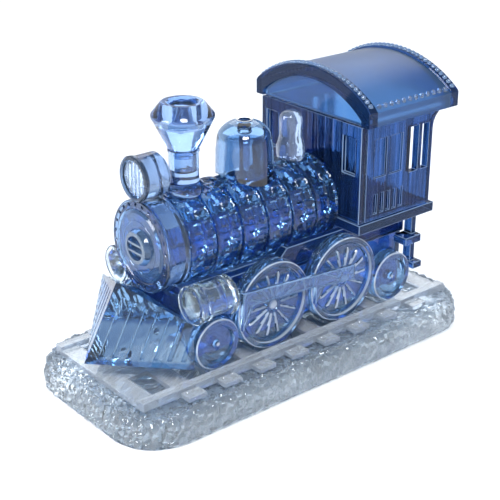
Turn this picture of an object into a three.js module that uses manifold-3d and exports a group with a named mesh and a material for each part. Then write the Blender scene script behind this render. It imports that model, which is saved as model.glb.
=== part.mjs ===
// A steam locomotive that is built up from clear plastic puzzle pieces, standing on a clear ballast base.
// Units are millimetres. +X points to the rear of the locomotive, +Z is up, and the origin is the
// middle of the base's underside. "left" is the side at -Y.

import * as THREE from 'three';
import { mergeVertices } from 'three/addons/utils/BufferGeometryUtils.js';
import { ConvexGeometry } from 'three/addons/geometries/ConvexGeometry.js';
import Module from 'manifold-3d';

// ---------------------------------------------------------------- driving dimensions

// Fits
const GAP = 0.3; // between two pieces that touch
const PEG_RADIUS = 1.6; // locating pegs of every kind
const SOCKET_RADIUS = PEG_RADIUS + GAP;
const PEG_LENGTH = 4;
const PEG_SIDES = 12;

// Base and track
const BASE_LENGTH = 140;
const BASE_WIDTH = 64.7;
const BASE_CORNER = 16;
const BALLAST_TOP = 9.8;
const BALLAST_EDGE = 3.4;
const TRACK_MARGIN = 7; // from the end of the base to the end of the track
const SHOULDER = 4.8; // from the side of the base to the sleeper ends
const SLEEPER_COUNT = 10;
const SLEEPER_WIDTH = 6.4;
const SLEEPER_THICKNESS = 1.4;
const RAIL_GAUGE = 41; // between the inner faces of the rails
const RAIL_WIDTH = 3;
const RAIL_HEIGHT = 1.3;

// Wheels
const DRIVER_RADIUS = 14;
const LEADING_RADIUS = 8;
const TRAILING_RADIUS = 8.3;
const DRIVER_FRONT_X = -12;
const WHEEL_SPACE = 0.5; // between neighbouring wheels
const WHEEL_THICKNESS = 4.4;
const WHEEL_OVERHANG = 0.6; // outer wheel face beyond the rail's inner face
const FLANGE_HEIGHT = 0.3;
const FLANGE_THICKNESS = 1.2;
const SPOKE_COUNT = 14;
const SPOKE_WIDTH = 0.9;
const ROD_THICKNESS = 1.6;
const ROD_DEPTH = 5;
const ROD_RISE = 8.6; // top edge of the rod above the driving axles

// Frame
const FRAME_TAIL = 9.5; // behind the trailing axle
const FRAME_PLAY = 0.7; // between the running boards and the wheels
const FRAME_BOTTOM = 15;
const FRAME_DROP = 3.5; // top of the frame below the cab floor
const FRAME_SEAMS = [-22.5, 2.5]; // between the front, middle and rear frames
const KNOB_RADIUS = 3.4; // jigsaw knobs that lock the frames together
const BOARD_THICKNESS = 3.2;
const BOARD_DEPTH = 4.5;
const BOARD_FRONT_X = -27;
const BOARD_STEP_X = -6;
const BOARD_LIP = 1; // outer strip that always reaches the cab floor

// Boiler
const BOILER_FRONT_X = -46;
const SMOKEBOX_LENGTH = 8;
const BOILER_RISE = 6.8; // boiler axis above the underside of the cab floor
const BOILER_FRONT_RADIUS = 14.25;
const BOILER_TAPER = 0.95;
const RING_COUNT = 6;
const SPINE_WIDTH = 8;
const DOOR_RADIUS = 11;
const DOOR_THICKNESS = 2;
const HUB_RADIUS = 4.9;
const HUB_HEIGHT = 1.8;
const RING_POCKETS = 8;

// Mountings on the boiler
const CHIMNEY_X = -29.5;
const CHIMNEY_RADIUS = 4.5;
const CHIMNEY_HEIGHT = 12.4; // boiler to the joint below the cap
const CHIMNEY_CAP_RADIUS = 9.4;
const CHIMNEY_CAP_HEIGHT = 14.05;
const DOME_X = -6.5;
const DOME_RADIUS = 9.2;
const DOME_HEIGHT = 16.6;
const BELL_X = 12.3;
const BELL_RADIUS = 4.5;
const BELL_HEIGHT = 15.2;
const LAMP_RADIUS = 6.8;
const LAMP_LENGTH = 9.5;
const LAMP_OVERHANG = 1.7; // in front of the smokebox
const LAMP_LENS_DEPTH = 1.6;

// Cylinders, cowcatcher and steps
const CYLINDER_RADIUS = 6;
const CYLINDER_LENGTH = 13.8;
const CYLINDER_SETBACK = 2.8; // ahead of the front driving wheel
const CYLINDER_Y = 19.2;
const COWCATCHER_LENGTH = 22.5;
const COWCATCHER_HALF_WIDTH = 23.5;
const COWCATCHER_BOTTOM = 17.4;
const COWCATCHER_APEX_SETBACK = 12.3;
const COWCATCHER_APEX_RISE = 8.4; // apex above the rear shoulders
const COWCATCHER_RIBS = 7;
const STEP_OUTER_Y = 22;
const STEP_LENGTH = 7.2;
const STEP_TAIL = 3.6; // behind the trailing wheel

// Cab
const CAB_SETBACK = 3.2; // front wall behind the rear driving axle
const CAB_LENGTH = 32.1;
const CAB_HALF_WIDTH = 23.3;
const CAB_WALL = 2.5;
const FLOOR_THICKNESS = 3.2;
const FLOOR_OVERHANG = 0.5;
const FLOOR_TAIL = 2; // behind the cab sides
const CAB_HEIGHT = 31.9;
const ROOF_TAIL = 7.8; // behind the cab sides
const ROOF_OVERHANG = 2.9; // beyond the cab sides
const ROOF_EAVE_HEIGHT = 4.6;
const ROOF_RISE = 9.7;
const ROOF_THICKNESS = 3.4;
const GABLE_THICKNESS = 2.4;

// ---------------------------------------------------------------- places worked out from them

const TRACK_BOTTOM = BALLAST_TOP + GAP;
const SLEEPER_TOP = TRACK_BOTTOM + SLEEPER_THICKNESS;
const RAIL_TOP = SLEEPER_TOP + RAIL_HEIGHT;
const RAIL_INNER_Y = RAIL_GAUGE / 2;
const WHEEL_OUTER_Y = RAIL_INNER_Y + WHEEL_OVERHANG;
const WHEEL_INNER_Y = WHEEL_OUTER_Y - WHEEL_THICKNESS;
const DRIVER_Z = axleHeight(DRIVER_RADIUS);
const DRIVER_REAR_X = DRIVER_FRONT_X + 2 * (DRIVER_RADIUS + FLANGE_HEIGHT) + WHEEL_SPACE;
const LEADING_X = DRIVER_FRONT_X - axleSpacing(LEADING_RADIUS);
const TRAILING_X = DRIVER_REAR_X + axleSpacing(TRAILING_RADIUS);
const FRAME_HALF_WIDTH = WHEEL_INNER_Y - FRAME_PLAY - BOARD_THICKNESS - GAP;
const FRAME_REAR_X = TRAILING_X + FRAME_TAIL;
const STEP_REAR_X = TRAILING_X + TRAILING_RADIUS + STEP_TAIL;
const STEP_FRONT_X = STEP_REAR_X - STEP_LENGTH;
const CAB_FRONT_X = DRIVER_REAR_X + CAB_SETBACK;
const CAB_REAR_X = CAB_FRONT_X + CAB_LENGTH;
const FLOOR_REAR_X = CAB_REAR_X + FLOOR_TAIL;
const ROOF_FRONT_X = CAB_FRONT_X;
const ROOF_REAR_X = CAB_REAR_X + ROOF_TAIL;
const FLOOR_BOTTOM = DRIVER_Z + DRIVER_RADIUS + FLANGE_HEIGHT + 2 * GAP;
const FRAME_TOP = FLOOR_BOTTOM - FRAME_DROP;
const BOARD_BOTTOM = FRAME_TOP - BOARD_DEPTH;
const CYLINDER_REAR_X = DRIVER_FRONT_X - DRIVER_RADIUS - CYLINDER_SETBACK;
const CYLINDER_FRONT_X = CYLINDER_REAR_X - CYLINDER_LENGTH;
const CYLINDER_Z = axleHeight(LEADING_RADIUS) + LEADING_RADIUS + WHEEL_SPACE + CYLINDER_RADIUS;
const COWCATCHER_REAR_X = CYLINDER_FRONT_X - 7 * GAP;
const COWCATCHER_TIP_X = COWCATCHER_REAR_X - COWCATCHER_LENGTH;
const FRAME_FRONT_X = COWCATCHER_REAR_X + 3.5;
const BOILER_Z = FLOOR_BOTTOM + BOILER_RISE;
const BOILER_REAR_RADIUS = BOILER_FRONT_RADIUS + BOILER_TAPER;
const ROD_TOP = DRIVER_Z + ROD_RISE;
const BOARD_INNER_Y = FRAME_HALF_WIDTH + GAP;
const BOARD_OUTER_Y = BOARD_INNER_Y + BOARD_THICKNESS;
const SMOKEBOX_REAR_X = BOILER_FRONT_X + SMOKEBOX_LENGTH;
const BOILER_REAR_X = CAB_FRONT_X - GAP;
const RING_LENGTH = (BOILER_REAR_X - SMOKEBOX_REAR_X) / RING_COUNT;
const BORE_WIDTH = SPINE_WIDTH + 2 * GAP;
const LAMP_Z = BOILER_Z + BOILER_FRONT_RADIUS + GAP + LAMP_RADIUS;
const FLOOR_TOP = FLOOR_BOTTOM + FLOOR_THICKNESS;
const CAB_TOP = FLOOR_TOP + CAB_HEIGHT;
const ROOF_HALF_WIDTH = CAB_HALF_WIDTH + ROOF_OVERHANG;
const ROOF_BOTTOM = CAB_TOP + GAP;
const ROOF_EAVE_TOP = ROOF_BOTTOM + ROOF_EAVE_HEIGHT;
const BACKHEAD_LENGTH = 9;
const BACKHEAD_HALF_WIDTH = 10.5;

// Height of an axle whose wheel stands on the rails.
function axleHeight(radius) {
  return RAIL_TOP + GAP + radius;
}

// From a driving axle to the axle of a small wheel next to it.
function axleSpacing(radius) {
  const reach = DRIVER_RADIUS + FLANGE_HEIGHT + radius + WHEEL_SPACE;
  return Math.sqrt(reach ** 2 - (DRIVER_RADIUS - radius) ** 2);
}

// Outer radius of the boiler at a place along it.
function boilerRadius(x) {
  const share = (x - BOILER_FRONT_X) / (BOILER_REAR_X - BOILER_FRONT_X);
  return BOILER_FRONT_RADIUS + share * (BOILER_REAR_RADIUS - BOILER_FRONT_RADIUS);
}

// ---------------------------------------------------------------- solids

const wasm = await Module();
wasm.setup();

const AXES = {
  // Columns: where a shape's own x, y and depth point.
  x: [new THREE.Vector3(0, 1, 0), new THREE.Vector3(0, 0, 1), new THREE.Vector3(1, 0, 0)],
  y: [new THREE.Vector3(0, 0, 1), new THREE.Vector3(1, 0, 0), new THREE.Vector3(0, 1, 0)],
  z: [new THREE.Vector3(1, 0, 0), new THREE.Vector3(0, 1, 0), new THREE.Vector3(0, 0, 1)],
};

// A closed three.js geometry as a solid for joining and cutting, with its faces turned outward.
function solid(geometry) {
  const bare = geometry.clone();
  bare.deleteAttribute('normal');
  bare.deleteAttribute('uv');
  const merged = mergeVertices(bare, 1e-4);
  const at = merged.attributes.position;
  const corners = merged.index.array;
  const [a, b, c] = [new THREE.Vector3(), new THREE.Vector3(), new THREE.Vector3()];
  const kept = [];
  let volume = 0;
  for (let i = 0; i < corners.length; i += 3) {
    const [p, q, r] = [corners[i], corners[i + 1], corners[i + 2]];
    if (p === q || q === r || r === p) continue;
    kept.push(p, q, r);
    a.fromBufferAttribute(at, p);
    b.fromBufferAttribute(at, q);
    c.fromBufferAttribute(at, r);
    volume += a.dot(b.cross(c));
  }
  if (volume < 0) kept.reverse();
  return new wasm.Manifold(new wasm.Mesh({
    numProp: 3,
    vertProperties: new Float32Array(at.array),
    triVerts: new Uint32Array(kept),
  }));
}

// A box between two corners; each pair may be given in either order.
function block([x0, x1], [y0, y1], [z0, z1]) {
  const geometry = new THREE.BoxGeometry(Math.abs(x1 - x0), Math.abs(y1 - y0), Math.abs(z1 - z0));
  geometry.translate((x0 + x1) / 2, (y0 + y1) / 2, (z0 + z1) / 2);
  return solid(geometry);
}

// A flat outline pulled along an axis. Its points are [y, z] for axis x, [z, x] for y and [x, y] for z.
function plate(axis, outline, from, to, holes = []) {
  const shape = new THREE.Shape(outline.map(([u, v]) => new THREE.Vector2(u, v)));
  for (const hole of holes) {
    shape.holes.push(new THREE.Path(hole.map(([u, v]) => new THREE.Vector2(u, v))));
  }
  const geometry = new THREE.ExtrudeGeometry(shape, { depth: Math.abs(to - from), bevelEnabled: false });
  geometry.translate(0, 0, Math.min(from, to));
  geometry.applyMatrix4(new THREE.Matrix4().makeBasis(...AXES[axis]));
  return solid(geometry);
}

// A body turned about an axis through a point. Its profile is [radius, place along the axis].
function turned(axis, centre, profile, segments = 32) {
  const points = profile.map(([radius, along]) => new THREE.Vector2(radius, along));
  const geometry = new THREE.LatheGeometry(points, segments);
  if (axis === 'z') geometry.rotateX(Math.PI / 2);
  if (axis === 'x') geometry.rotateZ(-Math.PI / 2);
  geometry.translate(...centre);
  return solid(geometry);
}

// A round bar along an axis.
function bar(axis, radius, from, to, centre, segments = 24) {
  const profile = [[0, Math.min(from, to)], [radius, Math.min(from, to)], [radius, Math.max(from, to)],
    [0, Math.max(from, to)]];
  return turned(axis, centre, profile, segments);
}

function join(first, ...others) {
  return others.reduce((whole, other) => whole.add(other), first);
}

function cut(first, ...others) {
  return others.reduce((whole, other) => whole.subtract(other), first);
}

// Points on an arc in a plate's own two directions.
function arc([u, v], radius, fromDegrees, toDegrees, steps) {
  const points = [];
  for (let i = 0; i <= steps; i += 1) {
    const angle = THREE.MathUtils.degToRad(fromDegrees + (toDegrees - fromDegrees) * i / steps);
    points.push([u + radius * Math.cos(angle), v + radius * Math.sin(angle)]);
  }
  return points;
}

// ---------------------------------------------------------------- materials

const PLASTICS = {
  clear: { color: 0xc9d6e6, roughness: 0.08 },
  ice: { color: 0x9fb4d6, roughness: 0.06 },
  lilac: { color: 0x7683ad, roughness: 0.07 },
  blue: { color: 0x3d5a94, roughness: 0.07 },
  teal: { color: 0x3f78ab, roughness: 0.06 },
};

const locomotive = new THREE.Group();

// Turns a finished solid into a named mesh and adds it to the model.
function piece(name, body, plastic) {
  const { vertProperties, triVerts, numProp } = body.getMesh();
  const geometry = new THREE.BufferGeometry();
  const positions = new Float32Array(vertProperties.length / numProp * 3);
  for (let i = 0; i < positions.length / 3; i += 1) {
    positions.set(vertProperties.subarray(i * numProp, i * numProp + 3), i * 3);
  }
  geometry.setAttribute('position', new THREE.BufferAttribute(positions, 3));
  geometry.setIndex(new THREE.BufferAttribute(new Uint32Array(triVerts), 1));
  geometry.computeVertexNormals();
  const material = new THREE.MeshStandardMaterial({
    ...PLASTICS[plastic],
    metalness: 0,
    transparent: true,
    opacity: 0.6,
  });
  const mesh = new THREE.Mesh(geometry, material);
  mesh.name = name;
  locomotive.add(mesh);
}

const SIDES = [['left', -1], ['right', 1]];

// ---------------------------------------------------------------- ballast base

const TRACK_PEG_X = BASE_LENGTH / 2 - 22;
const LOCO_PEG_XS = [LEADING_X, TRAILING_X]; // the locomotive's pegs stop in the track panel

function ballastBase() {
  const halfLength = BASE_LENGTH / 2 - BALLAST_EDGE;
  const halfWidth = BASE_WIDTH / 2 - BALLAST_EDGE;
  const corner = BASE_CORNER - BALLAST_EDGE;
  const outline = [
    ...arc([halfLength - corner, halfWidth - corner], corner, 0, 90, 5),
    ...arc([corner - halfLength, halfWidth - corner], corner, 90, 180, 5),
    ...arc([corner - halfLength, corner - halfWidth], corner, 180, 270, 5),
    ...arc([halfLength - corner, corner - halfWidth], corner, 270, 360, 5),
  ];
  const shape = new THREE.Shape(outline.map(([x, y]) => new THREE.Vector2(x, y)));
  const geometry = new THREE.ExtrudeGeometry(shape, {
    depth: BALLAST_TOP,
    bevelSize: BALLAST_EDGE,
    bevelThickness: BALLAST_EDGE,
    bevelSegments: 3,
  });
  geometry.translate(0, 0, -BALLAST_EDGE);
  const below = block([-BASE_LENGTH, BASE_LENGTH], [-BASE_WIDTH, BASE_WIDTH], [-2 * BALLAST_EDGE, 0]);
  const sockets = [-TRACK_PEG_X, TRACK_PEG_X].map((x) => bar('z', SOCKET_RADIUS,
    BALLAST_TOP - PEG_LENGTH - GAP, BALLAST_TOP + 1, [x, 0, 0], PEG_SIDES));
  return cut(solid(geometry), below, ...sockets);
}

piece('ballast_base', ballastBase(), 'clear');

// ---------------------------------------------------------------- track panel

const TRACK_LENGTH = BASE_LENGTH - 2 * TRACK_MARGIN;
const SLEEPER_HALF_LENGTH = BASE_WIDTH / 2 - SHOULDER;

function trackPanel() {
  const pitch = (TRACK_LENGTH - SLEEPER_WIDTH) / (SLEEPER_COUNT - 1);
  const firstX = (SLEEPER_WIDTH - TRACK_LENGTH) / 2;
  const parts = [];
  for (let i = 0; i < SLEEPER_COUNT; i += 1) {
    const middle = firstX + i * pitch;
    const isEndBar = i === 0 || i === SLEEPER_COUNT - 1;
    const ends = isEndBar ? RAIL_INNER_Y + RAIL_WIDTH : SLEEPER_HALF_LENGTH;
    parts.push(block([middle - SLEEPER_WIDTH / 2, middle + SLEEPER_WIDTH / 2], [-ends, ends],
      [TRACK_BOTTOM, SLEEPER_TOP]));
  }
  const centre = block([firstX, -firstX], [-SLEEPER_WIDTH, SLEEPER_WIDTH], [TRACK_BOTTOM, SLEEPER_TOP]);
  for (const side of [-1, 1]) {
    const inner = side * RAIL_INNER_Y;
    const outer = side * (RAIL_INNER_Y + RAIL_WIDTH);
    parts.push(block([-TRACK_LENGTH / 2, TRACK_LENGTH / 2], [inner, outer], [TRACK_BOTTOM, RAIL_TOP]));
    parts.push(bar('z', PEG_RADIUS, BALLAST_TOP - PEG_LENGTH, SLEEPER_TOP - 0.2,
      [side * TRACK_PEG_X, 0, 0], PEG_SIDES));
  }
  const passages = LOCO_PEG_XS.map((x) => bar('z', SOCKET_RADIUS, 0, RAIL_TOP, [x, 0, 0], PEG_SIDES));
  return cut(join(centre, ...parts), ...passages);
}

piece('track_panel', trackPanel(), 'clear');

// ---------------------------------------------------------------- frames

const WHEELS = [
  { name: 'leading_wheel', x: LEADING_X, radius: LEADING_RADIUS, spoked: false },
  { name: 'driving_wheel_front', x: DRIVER_FRONT_X, radius: DRIVER_RADIUS, spoked: true },
  { name: 'driving_wheel_rear', x: DRIVER_REAR_X, radius: DRIVER_RADIUS, spoked: true },
  { name: 'trailing_wheel', x: TRAILING_X, radius: TRAILING_RADIUS, spoked: false },
];
const WHEEL_PEG_INNER_Y = FRAME_HALF_WIDTH - PEG_LENGTH;

// The room that the boiler barrel takes out of what carries it.
function boilerRoom(extra = GAP) {
  const x0 = BOILER_FRONT_X - 1;
  const profile = [[0, x0], [boilerRadius(x0) + extra, x0], [BOILER_REAR_RADIUS + extra, BOILER_REAR_X],
    [BOILER_REAR_RADIUS + extra, FRAME_REAR_X], [0, FRAME_REAR_X]];
  return turned('x', [0, 0, BOILER_Z], profile, 28);
}

function frame(from, to, knobAhead, knobBehind) {
  const knobZ = (FRAME_BOTTOM + BOARD_BOTTOM) / 2;
  const half = FRAME_HALF_WIDTH;
  let body = block([from, to], [-half, half], [FRAME_BOTTOM, FRAME_TOP]);
  if (knobBehind) {
    const knobX = to + KNOB_RADIUS * 0.7;
    body = join(body, bar('y', KNOB_RADIUS, -half, half, [knobX, 0, knobZ], 20));
  }
  if (knobAhead) {
    const knobX = from - GAP + KNOB_RADIUS * 0.7;
    body = cut(body, bar('y', KNOB_RADIUS + GAP, -half - 1, half + 1, [knobX, 0, knobZ], 20));
  }
  const bores = [];
  for (const wheel of WHEELS) {
    if (wheel.x < from || wheel.x > to) continue;
    for (const side of [-1, 1]) {
      bores.push(bar('y', SOCKET_RADIUS, side * (WHEEL_PEG_INNER_Y - GAP), side * (half + 1),
        [wheel.x, 0, axleHeight(wheel.radius)], PEG_SIDES));
    }
  }
  const pegs = [];
  for (const x of LOCO_PEG_XS) {
    if (x > from && x < to) {
      pegs.push(bar('z', PEG_RADIUS, TRACK_BOTTOM, FRAME_BOTTOM + 1, [x, 0, 0], PEG_SIDES));
    }
  }
  const cabRoom = block([CAB_FRONT_X - GAP, FRAME_REAR_X + 1], [-half - 1, half + 1],
    [FRAME_TOP, FLOOR_BOTTOM]);
  return join(cut(body, boilerRoom(), cabRoom, ...bores), ...pegs);
}

const [SEAM_1, SEAM_2] = FRAME_SEAMS;
piece('frame_front', frame(FRAME_FRONT_X, SEAM_1, false, true), 'blue');
piece('frame_middle', frame(SEAM_1 + GAP, SEAM_2, true, true), 'blue');
piece('frame_rear', frame(SEAM_2 + GAP, FRAME_REAR_X, true, false), 'blue');

// The front beam stands across the frame's nose and carries the cowcatcher on two pegs.
const BEAM_REAR_X = FRAME_FRONT_X - GAP;
const BEAM_FRONT_X = COWCATCHER_REAR_X + GAP;
const BEAM_TOP = CYLINDER_Z - CYLINDER_RADIUS - GAP;
const COWCATCHER_PEG_Y = 7;
const COWCATCHER_PEG_Z = 24;
const COWCATCHER_PEG_LENGTH = 2;

function frontBeam() {
  const body = block([BEAM_FRONT_X, BEAM_REAR_X], [-FRAME_HALF_WIDTH, FRAME_HALF_WIDTH],
    [COWCATCHER_BOTTOM, BEAM_TOP]);
  const socketEnd = COWCATCHER_REAR_X + COWCATCHER_PEG_LENGTH + GAP;
  const sockets = [-1, 1].map((side) => bar('x', SOCKET_RADIUS, BEAM_FRONT_X - 1, socketEnd,
    [0, side * COWCATCHER_PEG_Y, COWCATCHER_PEG_Z], PEG_SIDES));
  return cut(body, ...sockets);
}

piece('front_beam', frontBeam(), 'blue');

// A rear plate closes the frame below the cab floor.
piece('rear_plate', block([FRAME_REAR_X + GAP, FRAME_REAR_X + GAP + 2.2],
  [-FRAME_HALF_WIDTH, FRAME_HALF_WIDTH], [FRAME_BOTTOM + 4, FLOOR_BOTTOM - GAP]), 'blue');

// The running boards lie along the top of the frame and step up to the cab floor.
function runningBoard(side) {
  const inner = side * BOARD_INNER_Y;
  const outer = side * BOARD_OUTER_Y;
  const boardTop = FRAME_TOP;
  const stepTop = FLOOR_BOTTOM - GAP;
  const slope = stepTop - boardTop;
  const outline = [
    [BOARD_BOTTOM, BOARD_FRONT_X],
    [BOARD_BOTTOM, FRAME_REAR_X],
    [stepTop, FRAME_REAR_X],
    [stepTop, BOARD_STEP_X + slope],
    [boardTop, BOARD_STEP_X],
    [boardTop, BOARD_FRONT_X],
  ];
  const lip = block([CAB_FRONT_X + GAP, FRAME_REAR_X], [outer - side * BOARD_LIP, outer],
    [BOARD_BOTTOM, stepTop]);
  return join(cut(plate('y', outline, inner, outer), boilerRoom()), lip);
}

// ---------------------------------------------------------------- wheels and rods

function diskWheel(side, { x, radius }) {
  const out = side * WHEEL_OUTER_Y;
  const inn = side * WHEEL_INNER_Y;
  const dish = side * 0.9;
  const profile = [
    [0, inn],
    [radius, inn],
    [radius, out],
    [radius * 0.76, out],
    [radius * 0.72, out - dish],
    [radius * 0.32, out - dish],
    [radius * 0.28, out],
    [0, out],
  ];
  const centre = [x, 0, axleHeight(radius)];
  return join(turned('y', centre, profile, 24), wheelPeg(side, centre));
}

function wheelPeg(side, centre) {
  return bar('y', PEG_RADIUS, side * WHEEL_PEG_INNER_Y, side * (WHEEL_INNER_Y + 1), centre, PEG_SIDES);
}

function spokedWheel(side, { x, radius }) {
  const out = side * (WHEEL_OUTER_Y);
  const inn = side * WHEEL_INNER_Y;
  const flangeY = inn + side * FLANGE_THICKNESS;
  const dish = side * 1.8;
  const rimInner = radius * 0.84;
  const hub = radius * 0.2;
  const profile = [
    [0, inn],
    [radius + FLANGE_HEIGHT, inn],
    [radius + FLANGE_HEIGHT, flangeY],
    [radius, flangeY],
    [radius, out],
    [rimInner, out],
    [rimInner, out - dish],
    [hub, out - dish],
    [hub, out],
    [0, out],
  ];
  const centre = [x, 0, axleHeight(radius)];
  const spokes = [];
  for (let i = 0; i < SPOKE_COUNT; i += 1) {
    const spoke = new THREE.BoxGeometry(rimInner - hub + 0.6, Math.abs(dish) + 0.4, SPOKE_WIDTH);
    spoke.translate((rimInner + hub) / 2, 0, 0);
    spoke.rotateY(2 * Math.PI * (i + 0.5) / SPOKE_COUNT);
    spoke.translate(x, out - dish / 2 - side * 0.4, centre[2]);
    spokes.push(solid(spoke));
  }
  return join(turned('y', centre, profile, 28), wheelPeg(side, centre), ...spokes);
}

// The side rod joins the two driving wheels. A leg hangs from it ahead of each wheel centre.
function sideRod(side) {
  const inner = side * (WHEEL_OUTER_Y + GAP);
  const outer = side * (WHEEL_OUTER_Y + GAP + ROD_THICKNESS);
  const frontX = DRIVER_FRONT_X - DRIVER_RADIUS + 0.2;
  const legFrontX = DRIVER_REAR_X - DRIVER_RADIUS + 0.2;
  const lower = ROD_TOP - ROD_DEPTH;
  const legBottom = DRIVER_Z - DRIVER_RADIUS * 0.3;
  const legWidth = 4;
  const rearEnd = DRIVER_REAR_X + 3;
  const drop = 2.6; // the rod falls a little towards the rear
  const outline = [
    [ROD_TOP, frontX],
    [legBottom, frontX],
    [lower, frontX + legWidth],
    [lower - drop * 0.6, legFrontX],
    [legBottom, legFrontX],
    [lower - drop, legFrontX + legWidth],
    [lower - drop - 1.2, rearEnd],
    [ROD_TOP - drop - 1.2, rearEnd],
    [ROD_TOP - drop, legFrontX],
  ];
  return plate('y', outline, inner, outer);
}

// ---------------------------------------------------------------- cylinders

function steamCylinder(side) {
  const flange = 1.6;
  const barrel = CYLINDER_RADIUS - 0.9;
  const profile = [
    [0, CYLINDER_FRONT_X - 0.8],
    [CYLINDER_RADIUS * 0.5, CYLINDER_FRONT_X - 0.8],
    [CYLINDER_RADIUS * 0.62, CYLINDER_FRONT_X],
    [CYLINDER_RADIUS, CYLINDER_FRONT_X],
    [CYLINDER_RADIUS, CYLINDER_FRONT_X + flange],
    [barrel, CYLINDER_FRONT_X + flange],
    [barrel, CYLINDER_REAR_X - flange],
    [CYLINDER_RADIUS, CYLINDER_REAR_X - flange],
    [CYLINDER_RADIUS, CYLINDER_REAR_X],
    [0, CYLINDER_REAR_X],
  ];
  const body = turned('x', [0, side * CYLINDER_Y, CYLINDER_Z], profile, 20);
  const saddle = block([CYLINDER_FRONT_X + flange, CYLINDER_REAR_X - flange],
    [side * (FRAME_HALF_WIDTH + GAP), side * CYLINDER_Y], [CYLINDER_Z - 3, CYLINDER_Z + 3]);
  const frameSide = block([CYLINDER_FRONT_X - 2, CYLINDER_REAR_X + 1], [0, side * (FRAME_HALF_WIDTH + GAP)],
    [CYLINDER_Z - 10, CYLINDER_Z + 10]);
  return cut(join(body, saddle), boilerRoom(), frameSide);
}

for (const [sideName, side] of SIDES) {
  for (const wheel of WHEELS) {
    const body = wheel.spoked ? spokedWheel(side, wheel) : diskWheel(side, wheel);
    piece(`${wheel.name}_${sideName}`, body, 'lilac');
  }
  piece(`side_rod_${sideName}`, sideRod(side), 'lilac');
  piece(`running_board_${sideName}`, runningBoard(side), 'blue');
  piece(`steam_cylinder_${sideName}`, steamCylinder(side), 'ice');
}

// ---------------------------------------------------------------- cowcatcher

// A ploughshare of two slatted faces that meet at the nose. The slots between the slats run
// parallel to the nose ridge, from a solid bottom bar up to the sloping top edge.
function cowcatcher() {
  const shoulder = BOILER_Z - BOILER_FRONT_RADIUS - 2.95;
  const apexZ = shoulder + COWCATCHER_APEX_RISE;
  const nose = new THREE.Vector3(COWCATCHER_TIP_X, 0, COWCATCHER_BOTTOM);
  const apex = new THREE.Vector3(COWCATCHER_TIP_X + COWCATCHER_APEX_SETBACK, 0, apexZ);
  const corners = [nose, apex, new THREE.Vector3(COWCATCHER_REAR_X - 3, 0, apexZ - 4)];
  const slots = [];
  for (const side of [-1, 1]) {
    const y = side * COWCATCHER_HALF_WIDTH;
    const foot = new THREE.Vector3(COWCATCHER_REAR_X, y, COWCATCHER_BOTTOM);
    corners.push(foot, new THREE.Vector3(COWCATCHER_REAR_X, y, shoulder));
    corners.push(new THREE.Vector3(COWCATCHER_REAR_X, y * 0.4, shoulder + 1.2));
    const along = foot.clone().sub(nose);
    const up = apex.clone().sub(nose);
    const out = along.clone().cross(up).multiplyScalar(side).normalize().negate();
    for (let i = 1; i <= COWCATCHER_RIBS; i += 1) {
      const share = i / (COWCATCHER_RIBS + 1);
      const bottom = nose.clone().addScaledVector(along, share).addScaledVector(up, 0.09);
      bottom.addScaledVector(out, -0.7);
      const top = bottom.clone().addScaledVector(up, 0.78 - 0.4 * share);
      const points = [];
      for (const end of [bottom, top]) {
        for (const edge of [-0.02, 0.02]) {
          const point = end.clone().addScaledVector(along, edge);
          points.push(point, point.clone().addScaledVector(out, 9));
        }
      }
      slots.push(solid(new ConvexGeometry(points)));
    }
  }
  const pegs = [-1, 1].map((side) => bar('x', PEG_RADIUS, COWCATCHER_REAR_X - 2,
    COWCATCHER_REAR_X + COWCATCHER_PEG_LENGTH, [0, side * COWCATCHER_PEG_Y, COWCATCHER_PEG_Z], PEG_SIDES));
  return join(cut(solid(new ConvexGeometry(corners)), ...slots), ...pegs);
}

piece('cowcatcher', cowcatcher(), 'teal');

// ---------------------------------------------------------------- boiler

// Where each mounting stands, and the radius of the spigot that it plugs in with.
const MOUNTINGS = [[CHIMNEY_X, CHIMNEY_RADIUS], [DOME_X, PEG_RADIUS], [BELL_X, PEG_RADIUS]];

// Sockets in the top of the barrel for the spigots of the chimney, dome and bell.
function mountingSockets() {
  return MOUNTINGS.map(([x, radius]) => bar('z', radius + GAP, BOILER_Z + boilerRadius(x) - PEG_LENGTH - GAP,
    BOILER_Z + BOILER_REAR_RADIUS + 2, [x, 0, 0], radius > PEG_RADIUS ? 24 : PEG_SIDES));
}

function square(width) {
  return [[-width / 2, -width / 2], [width / 2, -width / 2], [width / 2, width / 2], [-width / 2, width / 2]];
}

function squareBore(from, to) {
  return plate('x', square(BORE_WIDTH).map(([y, z]) => [y, z + BOILER_Z]), from, to);
}

function boilerRing(index) {
  const from = SMOKEBOX_REAR_X + GAP + index * RING_LENGTH;
  const to = SMOKEBOX_REAR_X + (index + 1) * RING_LENGTH;
  const front = boilerRadius(from);
  const rear = boilerRadius(to);
  const bandWidth = 1.4;
  const profile = [
    [0, from],
    [front, from],
    [front, from + bandWidth],
    [front - 0.5, from + bandWidth + 0.5],
    [rear - 0.5, to],
    [0, to],
  ];
  const pockets = [];
  for (let i = 0; i < RING_POCKETS; i += 1) {
    const pocket = new THREE.BoxGeometry(4, 4.2, 3.4);
    pocket.translate(to - 1, 0, BOILER_FRONT_RADIUS * 0.66);
    pocket.rotateX(2 * Math.PI * (i + 0.5) / RING_POCKETS);
    pocket.translate(0, 0, BOILER_Z);
    pockets.push(solid(pocket));
  }
  const body = turned('x', [0, 0, BOILER_Z], profile, 28);
  return cut(body, squareBore(from - 1, to + 1), ...pockets, ...mountingSockets());
}

// The smokebox is the barrel's front piece. A wide flange holds the door in a round recess.
const DOOR_PEG_RADIUS = 3;
const DOOR_PEG_REAR_X = BOILER_FRONT_X + 3.8;
const LAMP_SLOT_WIDTH = 4;
const LAMP_SLOT_DEPTH = 2.4;

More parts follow.
